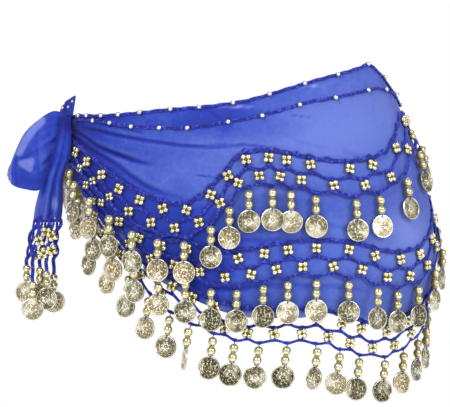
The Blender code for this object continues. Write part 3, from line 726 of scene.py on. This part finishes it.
def addFlowers(bundle, centre, frames, beadFrames, size, uneven):
    # Four beads in a square round a small dark eye; uneven has a row for each of the four.
    bead = ball(flower["bead"], 8, 6)
    # Painted shade on each bead's side towards the cloth; the eye keeps its own dark colour.
    bright = facing(bead, 2, flower["bead"], -0.6, 0.3)
    for (a, b), share in zip(((-1, -1), (1, -1), (1, 1), (-1, 1)), uneven):
        spread = flower["spread"] * size * (1 + share)
        off = spread[:, None] * (a * frames[:, 0] + b * frames[:, 1])
        bundle.addMany(bead, centre + off, beadFrames * size[:, None, None], bright=bright)
    eyes = centre + flower["eyeOut"] * frames[:, 2]
    bundle.addMany(ball(flower["eye"], 6, 4), eyes, beadFrames, bright=0.0)


def makeFlowers(band, side):
    # A flower over each post, a little smaller on a short post.
    bundle = Bundle()
    for places, first, second, _ in bandPosts(band, side):
        high, low = levels(band, places, first), levels(band, places, second)
        size = np.clip(abs(high - low) / flower["fullPost"], flower["smallest"], 1.0)
        turn = draw.uniform(-flower["turn"], flower["turn"], len(places))
        height = (high + low) / 2
        frames = bandFrames(places, height, turn)
        uneven = draw.uniform(-flower["uneven"], flower["uneven"], (4, len(places)))
        addFlowers(bundle, clothPoint(places, height, flower["out"]), frames, frames, size, uneven)
    return makePiece(f"flowers{band.upper()}{side.title()}", bundle, gold)


for band in "abc":
    for side in ("front", "back"):
        trims.append(makeNet(band, side))
        trims.append(makeFlowers(band, side))
print("nets made")

# Drops: bead, ring, bead and coin
drops = {
    "below": (5.6, 9.6, 13.6, 18.3, 37.9),
    "depth": 5.8, "bead": 3.8, "lowRing": 7.8, "ringRadius": 1.75, "ringTube": 0.75,
    "coinRadius": 9.8, "coinHalf": 0.55, "turn": 10.0, "sway": 3.0, "swayStep": 2.4, "edgeOn": 68.0,
    "edgeOnRoom": 3.4, "edgeOnCoins": {"a": (24,), "b": (12,), "c": (5, 10, 21)}, "inside": 3.1,
    "knotShine": 0.95, "knotSide": 228,
    "standAngle": (-82, -63, -57, -45, -30, -22, -17, -10, -4, 100, 115, 205, 225, 278),
    "stand": {
        "a": (1, 1, 11, 11, 10.5, 9.5, 6, 1.5, 0, 0, 7.4, 7.4, 11, 11),
        "b": (5.5, 5.5, 5.5, 5.5, 5.2, 4.8, 2, 0, 0, 0, 2.8, 2.8, 5.5, 5.5),
        "c": (0,) * 14,
    },
    "threadRadius": 0.42, "loopMiddle": 0.6, "loopHeight": 2.0, "loopWidth": 1.25,
    # Each coin's shine: its painted reflection, brighter for a coin that catches more light, and the choice
    # of its gilt colour.
    "shine": {
        "a": (0.7, 0.55, 0.8, 0.5, 0.45, 0.65, 0.8, 0.3, 0.65, 0.3, 0.4, 0.95, 0.6, 0.35, 0.95, 0.4, 0.3,
              0.3),
        "b": (0.8, 0.5, 0.75, 0.4, 0.85, 0.3, 0.2, 0.25, 0.2, 0.98, 0.95, 0.35, 0.4, 0.25, 0.2, 0.6, 0.3),
        "c": (0.5, 0.85, 0.4, 0.9, 0.5, 0.95, 0.2, 0.1, 0.3, 0.1, 0.6, 0.9, 0.2, 0.1, 0.8, 0.3, 0.5),
    },
}


def coinShape():
    # A disc seen as rings from the front's middle over the rim to the back's middle.
    radius = np.array([0, 0.18, 0.36, 0.52, 0.66, 0.72, 0.77, 0.82, 0.88, 0.93, 0.97, 1.0])
    segments = 3 * stamp["dots"]
    turn = np.arange(segments)[None, :] * 2 * math.pi / segments
    r = radius[:, None]
    rim = 0.34 * np.exp(-((r - stamp["rim"]) / 0.035) ** 2)
    dots = 0.24 * np.exp(-((r - stamp["dotRing"]) / 0.045) ** 2) * np.clip(np.cos(stamp["dots"] * turn), 0, 1)
    lobes = 0.16 * np.exp(-((r - 0.36) / 0.2) ** 2) * np.sin(5 * turn + 7 * r)
    thick = drops["coinHalf"] + (rim + dots + lobes) * (r < 0.99)
    flat = drops["coinRadius"] * r
    half = np.stack([flat * np.sin(turn), flat * np.cos(turn), thick], axis=-1)
    back = half[[-1, -3, 3, 0]].copy()
    back[..., 2] *= -1
    return np.concatenate([half, back])


coinGrid = coinShape()


def turned(aside, out, degrees):
    # The sideways and outward directions, turned about the vertical.
    turn = math.radians(degrees)
    return math.cos(turn) * aside + math.sin(turn) * out, math.cos(turn) * out - math.sin(turn) * aside


def addCoin(coins, middle, aside, out, down, turn, shine):
    # The coin's grid, turned to its own directions, with its own x and y marked for the stamping.
    across, through = turned(aside, out, turn)
    across = unit(across - down * np.dot(across, down))
    through = unit(np.cross(down, across))
    grid = middle + coinGrid @ np.array([across, -down, through])
    coinX, coinY = (coinGrid[..., axis] / drops["coinRadius"] for axis in (0, 1))
    coins.add(grid, coinX=coinX, coinY=coinY, shine=shine)


def ringShape(radius, thick, segments=12, sides=6):
    # A torus round the third axis; its last row meets its first.
    turn = np.linspace(0, 2 * math.pi, segments + 1)[:, None]
    roll = np.arange(sides)[None, :] * 2 * math.pi / sides
    reach = radius + thick * np.cos(roll)
    return np.stack([reach * np.cos(turn), reach * np.sin(turn), thick * np.sin(roll) + 0 * turn], axis=-1)


def addBeads(beads, centres, down, aside, radius, lowRing):
    # Bead, ring and bead at the three centres, and a last ring under them.
    frame3 = np.array([aside, np.cross(down, aside), down])
    bead = ball(radius, 12, 7)
    # Painted shade on each bead's half towards the cloth; the rings are darker and duller throughout.
    for centre in (centres[0], centres[2]):
        beads.add(centre + bead @ frame3, bright=facing(bead, 1, radius))
    for centre in (centres[1], centres[1] + down * lowRing):
        beads.add(centre + ringShape(drops["ringRadius"], drops["ringTube"]) @ frame3, bright=0.35)


def addDrop(beads, coins, threads, band, number, angle, shine):
    # Beads and a coin on a plumb line from the lowest chain, kept clear of the cloth behind them.
    root = clothPoint(angle, levels(band, angle, "low") - 1.0, bands["stripOut"])
    out = unit(formNormal(angle, root[2]) * np.array([1, 1, 0]))
    aside = np.array([-out[1], out[0], 0])
    extra = np.interp(angle, drops["standAngle"], drops["stand"][band])
    stand = extra + drops["depth"]
    turn = drops["turn"] + drops["sway"] * math.sin(drops["swayStep"] * number)
    turn = turn * drops["inside"] / (drops["inside"] + extra)
    if number in drops["edgeOnCoins"][band]:
        turn = drops["edgeOn"]
        stand = max(stand, drops["edgeOnRoom"] + drops["coinRadius"] * math.sin(math.radians(turn)))
    below = np.array(drops["below"])
    wall = clothPoint(angle + 0 * below, root[2] - below)
    foot = clothPoint(angle, root[2])
    reach = np.maximum.accumulate((wall - foot) @ out)
    sideways = math.tan(math.radians(bands["lean"][band])) * below
    middles = foot + out * (stand + reach)[:, None] + aside * sideways[:, None]
    middles = middles - np.array([0, 0, 1.0]) * below[:, None]
    down = unit(middles[4] - middles[3])
    hang = unit(middles[2] - middles[0])
    addBeads(beads, middles[:3], hang, unit(aside - hang * np.dot(aside, hang)), drops["bead"],
             drops["lowRing"])
    addCoin(coins, middles[3] + down * drops["coinRadius"], aside, out, down, turn, shine)
    through = turned(aside, out, turn)[1]
    path = np.array([root + out * 0.4, middles[0], middles[2], middles[3] + down * 0.8])
    _, (path,) = resample(path, 1.2)
    threads.add(tube(path, out + 0 * path, drops["threadRadius"], 5))
    loop = np.linspace(0, 2 * math.pi, 13)[:, None]
    circle = (middles[3] + down * (drops["loopMiddle"] + drops["loopHeight"] * np.cos(loop))
              + through * drops["loopWidth"] * np.sin(loop))
    threads.add(tube(circle, aside + 0 * circle, drops["threadRadius"], 5))


for band in "abc":
    for side in ("front", "back"):
        beads, coins, threads = Bundle(), Bundle(), Bundle()
        angles = bandPlaces(band, side)[0]
        before = 0 if side == "front" else len(bands[band])
        for i, angle in enumerate(angles):
            # Each coin's shine is painted reflection and the choice of gilt; by the knot, where the coins
            # hang in shade, it is raised as painted light.
            shine = drops["shine"][band][i] if side == "front" else draw.uniform(0.05, 0.95)
            shine = max(shine, drops["knotShine"]) if angle > drops["knotSide"] else shine
            addDrop(beads, coins, threads, band, before + i, angle, shine)
        tail = f"{band.upper()}{side.title()}"
        makePiece("coins" + tail, coins, coinMetal, (f"drops_{band}_{side}",))
        makePiece("dropBeads" + tail, beads, gold)
        makePiece("dropThreads" + tail, threads, crochet)
print("drops made")

# Knot and tip
knot = {
    "middle": -27.0, "halfWidth": 6.6, "halfHeight": 20.0, "rise": 12.5, "floor": 1.4, "tone": 0.30,
    "rings": 48, "segments": 72, "tipColumns": 41, "tipRows": 31,
    "folds": 9, "twist": 5, "foldDepth": 0.05, "foldTone": 3.2, "tipTone": 0.34, "tipWall": 0.5,
    "tipAngles": (-83, -79, -75, -71.5), "tipTops": (-4.0, -1.0, 3.5, 6.5),
    "tipRoots": (-13.0, -12.5, -12.0, -10.0), "tipLifts": (10.6, 10.4, 7.5, 3.4), "tipLean": 0.25,
    "tipBead": 1.5, "tipBeadU": (0.95, 0.80, 0.50), "tipBeadV": (0.30, 0.55, 0.45),
    "tipBeadAngle": -74.0, "tipBeadOut": 1.2,
}


def makeKnot():
    # A ball pressed flat on the wrap, with folds that wind round it.
    lat = np.linspace(0, math.pi, knot["rings"] + 1)[:, None]
    lon = np.arange(knot["segments"])[None, :] * 2 * math.pi / knot["segments"]
    fold = 1 + knot["foldDepth"] * np.sin(knot["folds"] * lon + knot["twist"] * np.cos(lat)) * np.sin(lat)
    across, rise, along = np.sin(lat) * np.cos(lon), -np.sin(lat) * np.sin(lon), np.cos(lat) + 0 * lon
    angle = worn["knotAngle"] + knot["halfWidth"] * across * fold
    height = knot["middle"] + knot["halfHeight"] * along
    lift = knot["floor"] + knot["rise"] * np.maximum(0, rise) * fold
    points = formPoint(angle, height) + formNormal(angle, height) * lift[..., None]
    bundle = Bundle()
    # Painted shade: the knot darker overall, darker in the folds' valleys and lighter on their ridges.
    bundle.add(points, tone=knot["tone"] + knot["foldTone"] * (fold - 1), thin=0.0)
    return makePiece("knotLump", bundle, chiffon, ("knot",))


def tipPoint(u, v, out=0.0):
    # u runs along the tip's edge and v from its edge to its root, over folds that fade downwards.
    places = np.linspace(0, 1, 4)
    angle, top, root = (np.interp(u, places, knot[key]) for key in ("tipAngles", "tipTops", "tipRoots"))
    lift = smoothCurve(u, places, knot["tipLifts"]) * (1 - knot["tipLean"] * (1 - v))
    fold = np.sin(5 * math.pi * u + 1.5 * v)
    lift = lift + 0.5 + out + 0.45 * fold * (1 - 0.5 * v)
    return clothPoint(angle + 0 * v, top + v * (root - top), lift), fold


def makeTip():
    u, v = (np.linspace(0, 1, knot[key]) for key in ("tipColumns", "tipRows"))
    points, fold = tipPoint(u[None, :], v[:, None])
    # Painted shade: the tip dark overall, lighter and darker with its folds.
    return makeCloth("knotTip", "knot_tip", points, knot["tipWall"], knot["tipTone"] + 0.12 * fold, 0.0)


def makeTipBeads():
    # The edge chain's last silver beads, on the tip.
    bundle = Bundle()
    bead = ball(knot["tipBead"], 12, 8)
    u, v = np.array([knot["tipBeadU"], knot["tipBeadV"]])
    centres = tipPoint(u, v, knot["tipBeadOut"])[0]
    frames = bandFrames(knot["tipBeadAngle"] + 0 * u, centres[:, 2])
    # Painted shade on each bead's half towards the cloth.
    bundle.addMany(bead, centres, frames, bright=facing(bead, 2, knot["tipBead"]))
    return makePiece("tipBeads", bundle, silver)


knotPieces = [makeKnot(), makeTip(), makeTipBeads()]

# Bow loop
bow = {
    "x": (-155.4, -160, -169, -181, -194, -203, -207, -203, -194, -184, -177, -173.9),
    "y": (-32, -39, -41.3, -42.2, -38, -32, -25, -18, -14, -13, -14.5, -18),
    "upper": (-13, -9, -7, -14, -26, -43, -54, -43, -26, -15, -13, -16),
    "lower": (-46, -55, -66, -75.5, -74.5, -72, -69, -70, -72, -66, -52, -42),
    "puff": 3.0, "columns": 200, "rows": 90, "wall": 0.5, "tone": 0.56, "rootSpan": 2.2, "frontEnd": 6,
    "press": 3.6, "hemSpan": 0.018, "hemTone": -0.30, "rootTone": -0.22,
    "pleats": ((0.8, 7.0, 0.4, 0.35), (0.55, 11.0, 2.1, -0.5), (0.4, 17.0, 4.0, 0.8)),
    "strokes": [
        {"x": (-155, -158.5, -163, -166.5, -171, -175), "z": (-14, -23, -33.5, -45, -59.5, -73.5),
         "width": 2.8, "tone": -0.36},
        {"x": (-196, -182), "z": (-65.5, -68), "width": 4.0, "tone": -0.20},
        {"x": (-179, -186, -193, -197.5), "z": (-15.5, -22.5, -32.5, -42), "width": 3.9, "thin": 0.40},
        {"x": (-195.5, -187, -188.5, -195.5), "z": (-52, -50, -57.5, -52), "width": 2.5, "thin": 0.34},
        {"x": (-202.5, -205, -205.5), "z": (-42.5, -54, -66.5), "width": 1.5, "thin": 0.30},
        {"x": (-200.2, -200.5), "z": (-46, -70), "width": 0.9, "tone": -0.16},
        {"x": (-182.5, -183, -181), "z": (-21, -36, -62), "width": 1.4, "tone": -0.12},
        {"x": (-195, -182), "z": (-47.5, -40.5), "width": 0.9, "tone": -0.14},
        {"x": (-197, -190, -184), "z": (-58, -60.5, -57), "width": 0.9, "tone": -0.12},
        {"x": (-180, -177), "z": (-40, -55), "width": 4.0, "tone": 0.10},
        {"x": (-176, -172), "z": (-16, -30), "width": 1.2, "tone": -0.10},
    ],
}


def strokeDistance(x, z, xs, zs):
    # Distance from each point to a broken line, as the least over its segments.
    best = np.full_like(x, 1e9)
    for x0, z0, x1, z1 in zip(xs, zs, xs[1:], zs[1:]):
        run = (x1 - x0) ** 2 + (z1 - z0) ** 2
        t = np.clip(((x - x0) * (x1 - x0) + (z - z0) * (z1 - z0)) / run, 0, 1)
        best = np.minimum(best, np.hypot(x - x0 - t * (x1 - x0), z - z0 - t * (z1 - z0)))
    return best


def makeBow():
    # A strip out from the knot, round the loop's end and back, pushed out in its middle.
    places = np.arange(len(bow["x"]))
    along = np.linspace(0, len(places) - 1, bow["columns"])
    x, y, upper, lower = (smoothCurve(along, places, bow[key]) for key in ("x", "y", "upper", "lower"))
    share = np.linspace(0, 1, bow["rows"])[:, None]
    heading = unit(np.gradient(np.stack([x, y], axis=-1), axis=0))
    swell = bow["puff"] * np.sin(math.pi * share) * np.sin(math.pi * along / along[-1])
    height = upper + share * (lower - upper)
    root = np.exp(-(along / bow["rootSpan"]) ** 2) + np.exp(-((along[-1] - along) / bow["rootSpan"]) ** 2)
    fold = np.sin(3.6 * along + 2.2 * share + 1.0) * (0.2 + 0.8 * root)
    pleat = sum(size * np.sin(math.pi * waves * share + phase + lean * along)
                for size, waves, phase, lean in bow["pleats"])
    pleat = pleat * (0.30 + 0.9 * root) * np.sin(math.pi * share) ** 0.5
    front = along < bow["frontEnd"]
    tone, thin, press = (np.zeros_like(height) for _ in range(3))
    # The strokes: the dark ones are painted shade, among them the shadow of the tail's edge, the light one is
    # painted light, and the pale ones are painted pale light where a single layer lets the light through.
    for stroke in bow["strokes"]:
        distance = strokeDistance(x + 0 * height, height, stroke["x"], stroke["z"])
        mark = front * np.exp(-(distance / stroke["width"]) ** (5 if "thin" in stroke else 2))
        tone += mark * stroke.get("tone", 0)
        thin += mark * stroke.get("thin", 0)
        press += mark * min(0, stroke.get("tone", 0))
    swell = swell + 0.5 * fold + bow["press"] * press + pleat
    points = np.stack([x - swell * heading[:, 1], y + swell * heading[:, 0], height], axis=-1)
    hem = np.exp(-(share / bow["hemSpan"]) ** 2) + np.exp(-((1 - share) / bow["hemSpan"]) ** 2)
    # Painted shade and light with the folds and pleats, painted shade at the roots by the knot; the tone is
    # also darker along both hems, and raised where the pale painted light is.
    tone = (bow["tone"] + 0.05 * fold + 0.11 * pleat + bow["rootTone"] * root + bow["hemTone"] * hem
            + tone + 0.4 * thin)
    return makeCloth("bowLoop", "bow_loop", points, bow["wall"], tone, np.clip(thin, 0, 0.9))


bowPiece = makeBow()

# Tail
tailCloth = {
    "height": (-12, -28, -46, -65, -80, -90, -100),
    "left": (-162.5, -165, -170, -177, -181.5, -184, -185.5),
    "right": (-154, -153, -154.5, -160, -160.5, -160.5, -161.7),
    "nearY": (-43.6, -46, -47.5, -48, -48, -48, -48),
    "farY": (-37.2, -43, -46, -47.5, -48, -48, -48),
    "fold": (0.2, 0.7, 1.4, 2.0, 2.4, 2.6, 2.6),
    "waves": 2.5, "fineWaves": 6, "hemWaves": 2, "columns": 110, "rows": 90, "wall": 0.5, "tone": 0.50,
    "byKnot": {"tone": -0.40, "angle": -155.5, "wide": 3.5, "height": -18, "high": 7},
    "patches": [
        {"tone": -0.40, "height": -12, "high": 16},
        {"tone": 0.14, "toHeight": (-84, -62)},
        {"tone": -0.42, "angle": 0.04, "wide": 0.13, "fromHeight": (-80, -68)},
        {"tone": -0.30, "angle": 1, "wide": 0.10},
        {"tone": -0.22, "fromAngle": (0.72, 0.90), "toHeight": (-70, -52)},
    ],
    "thinSpot": {"x": -167.5, "wide": 2.6, "height": -87.5, "high": 6.0},
    "thinEdge": {"share": 0.8, "in": 3.5, "wide": 2.6}, "thinTone": 0.3, "thin": 0.38,
}


def makeTail():
    # A strip between the table's edges, waved across as cosines of the share of its width.
    share = np.linspace(0, 1, tailCloth["columns"])[None, :]
    height = np.linspace(tailCloth["height"][0], tailCloth["height"][-1], tailCloth["rows"])[:, None]
    deep = -height
    left, right, near, far, fold = (smoothCurve(deep, -np.asarray(tailCloth["height"]), tailCloth[key])
                                    for key in ("left", "right", "nearY", "farY", "fold"))
    turn = 2 * math.pi * share
    wave = np.cos(tailCloth["waves"] * turn) * (0.35 + 0.65 * softStep(deep, 20, 75))
    small = np.sin(tailCloth["fineWaves"] * turn + 0.05 * deep) * softStep(deep, 40, 85)
    x = left + share * (right - left)
    y = near + share * (far - near) - fold * wave - 0.25 * small * np.minimum(1, deep / 40)
    low = height - 1.6 * np.cos(tailCloth["hemWaves"] * turn + 0.6) * softStep(deep, 80, 100)
    # Painted shade and light: lighter and darker across the waves, darker by the knot, along the top, at both
    # edges and in a shadow on the right side, and lighter lower down.
    tone = tailCloth["tone"] + (0.05 + 0.07 * softStep(deep, 45, 75)) * wave + 0.05 * small
    tone += tailCloth["byKnot"]["tone"] * patchShare(tailCloth["byKnot"], x, height)
    for patch in tailCloth["patches"]:
        tone += patch["tone"] * patchShare(patch, share, height)
    # Painted pale light where a single layer lets the light through: a spot near the hem and a strip inside
    # the left edge near the hem.
    spot, edge = tailCloth["thinSpot"], tailCloth["thinEdge"]
    away = ((x - spot["x"]) / spot["wide"]) ** 2 + ((height - spot["height"]) / spot["high"]) ** 2
    inside = (x - left - edge["in"]) / edge["wide"]
    thin = np.exp(-away**2) + edge["share"] * np.exp(-inside**2) * softStep(deep, 76, 86)
    return makeCloth("tailCloth", "tail", np.stack([x, y, low + 0 * x], axis=-1), tailCloth["wall"],
                     tone + tailCloth["thinTone"] * thin, np.clip(tailCloth["thin"] * thin, 0, 1))


tailPiece = makeTail()

# Tail fringe
fringe = {
    "rootX": (-183.4, -178.4, -173.6, -168.8, -163.8),
    "endX": (-191.6, -185.8, -180.0, -174.2, -168.4),
    "coin": (-164, -178, -166, -169, -172),
    "y": (-44.5, -55, -48, -51.5, -41),
    # Each coin's shine is painted reflection and the choice of gilt.
    "shine": (0.85, 0.95, 0.6, 0.3, 0.8),
    "turn": (12, -8, 20, -25, 9),
    "start": -98, "top": -100.6, "spread": 36.0, "bead": 3.5, "rings": (11.0, 7.6, 4.2), "lowRing": 6.8,
    "clothY": -48, "bloomY": -51.5, "bloomTurn": 0.6, "backing": (-184.5, -162.7, -101.6),
    "plaits": ((2.3, 0.0, 1.3), (-3.4, 0.8, 0.9)),  # step aside, step out, size
    "swing": 12.0, "still": (130, 138), "plaitEnd": 13, "thread": (13.5, -1, 0.45),
    "backingWave": 1.4, "backingSize": 1.2,
    "blooms": ((-174.5, -111.6), (-169.3, -115.1), (-180.5, -119.4), (-183.1, -131.5),
               (-176.2, -129.7), (-169.5, -127.1)),
}


def makeFringe():
    # Each strand leans from its root to its end; two plaits swing across it, and a coin hangs below.
    strands, blooms, beads, coins = Bundle(), Bundle(), Bundle(), Bundle()
    out, aside, down = np.array([0, -1.0, 0]), np.array([1.0, 0, 0]), np.array([0, 0, -1.0])
    clothY, start = fringe["clothY"], fringe["start"]
    columns = [fringe[key] for key in ("rootX", "endX", "coin", "y", "turn", "shine")]
    for k, (rootX, endX, coin, y, turn, shine) in enumerate(zip(*columns)):
        def at(height):
            share = np.clip((fringe["top"] - height) / fringe["spread"], 0, 1)
            return np.stack([rootX + share * (endX - rootX), clothY + share * (y - clothY),
                             height + 0 * share], axis=-1)
        coinTop = coin + drops["coinRadius"]
        height = np.linspace(start, coinTop + fringe["plaitEnd"], 60)
        swing = np.sin(math.pi * (k - (height - start) / fringe["swing"]))
        swing = swing * (1 - softStep(-height, *fringe["still"]))
        path = at(height)
        for step, lift, size in fringe["plaits"]:
            path[:, 0] += step * swing
            addPlait(strands, path + lift * out * (height[:, None] < start - 3), out + 0 * path, size)
        high, low, thick = fringe["thread"]
        thread = at(np.linspace(coinTop + high, coinTop + low, 8))
        strands.add(tube(thread, out + 0 * thread, thick, 5))
        addBeads(beads, at(coinTop + np.array(fringe["rings"])), down, aside, fringe["bead"],
                 fringe["lowRing"])
        addCoin(coins, np.array([endX, y, coin]), aside, out, down, turn, shine)
    centre = np.array([(x, fringe["bloomY"], z) for x, z in fringe["blooms"]])
    turn = draw.uniform(-fringe["bloomTurn"], fringe["bloomTurn"], len(centre))[:, None]
    frames = np.stack([np.cos(turn) * aside - np.sin(turn) * down,
                       -np.sin(turn) * aside - np.cos(turn) * down, out + 0 * turn], axis=1)
    upright = np.broadcast_to(np.array([aside, -down, out]), frames.shape)
    addFlowers(blooms, centre, frames, upright, np.ones(len(centre)), np.zeros((4, len(centre))))
    first, last, high = fringe["backing"]
    x = np.linspace(first, last, 60)
    path = np.stack([x, clothY - fringe["backingWave"] * np.cos((x + 162) / 3.0), high + 0 * x], axis=-1)
    addPlait(strands, path, out + 0 * path, fringe["backingSize"])
    return [makePiece("tailNet", strands, crochet, ("tail_fringe",)),
            makePiece("tailFlowers", blooms, gold), makePiece("tailBeads", beads, gold),
            makePiece("tailCoins", coins, coinMetal)]


fringePieces = makeFringe()
print("bow, tail and fringe made")

# Floor, light and camera
studio = {
    "floorZ": -0.95, "floorHalf": 9.0, "level": 1.0, "above": 0.40, "below": 0.25,
    "highEdge": 0.08, "lowEdge": -0.10, "blend": 7.0, "paper": (0.9, 0.9, 0.9, 1), "glow": 0.38,
    "camera": (-0.020, -2.5, -0.087), "lens": 227.0, "sensor": 36.0, "target": (0, 0, -0.1),
    "lamps": [
        {"place": (-1.0, -2.0, 1.5), "size": 1.3, "power": 44.0},
        {"place": (1.7, -1.5, 0.9), "size": 0.9, "power": 27.0},
        {"place": (0.2, 1.9, 1.5), "size": 1.4, "power": 36.0},
    ],
}


def makeStudio():
    # A wide pale floor, a white surround, three soft lamps and a level camera.
    half, z = studio["floorHalf"], studio["floorZ"]
    mesh = bpy.data.meshes.new("floor")
    mesh.from_pydata([(-half, -half, z), (half, -half, z), (half, half, z), (-half, half, z)], [],
                     [(0, 1, 2, 3)])
    floor = bpy.data.objects.new("floor", mesh)
    bpy.context.scene.collection.objects.link(floor)
    paper = Shader("pale paper", Roughness=0.9, Emission_Strength=studio["glow"])
    paper.base.inputs["Base Color"].default_value = studio["paper"]
    paper.base.inputs["Emission Color"].default_value = (1, 1, 1, 1)
    mesh.materials.append(paper.material)
    # The backdrop is white at the level of the view, and dimmer above and below it.
    world = Shader("studio", "worlds", "Background")
    z = world.node("ShaderNodeSeparateXYZ", {}, {0: world.node("ShaderNodeTexCoord", output=0)}, output=2)
    over = ((z - studio["highEdge"]) * studio["blend"]).limited()
    under = ((studio["lowEdge"] - z) * studio["blend"]).limited()
    strength = (studio["level"] - over * (studio["level"] - studio["above"])
                - under * (studio["level"] - studio["below"]))
    world.base.inputs["Color"].default_value = (1, 1, 1, 1)
    world.feed("Strength", strength)
    bpy.context.scene.world = world.material
    for number, lamp in enumerate(studio["lamps"]):
        data = bpy.data.lights.new(f"softbox{number}", "AREA")
        data.shape, data.size, data.energy = "SQUARE", lamp["size"], lamp["power"]
        light = bpy.data.objects.new(f"softbox{number}", data)
        light.location = lamp["place"]
        aim = Vector(studio["target"]) - light.location
        light.rotation_euler = aim.to_track_quat("-Z", "Y").to_euler()
        bpy.context.scene.collection.objects.link(light)
    data = bpy.data.cameras.new("camera")
    data.lens, data.sensor_width = studio["lens"], studio["sensor"]
    camera = bpy.data.objects.new("camera", data)
    camera.location = studio["camera"]
    camera.rotation_euler = (math.pi / 2, 0, 0)
    bpy.context.scene.collection.objects.link(camera)
    bpy.context.scene.camera = camera
    bpy.context.scene.view_settings.view_transform = "Standard"


makeStudio()
print("studio made")
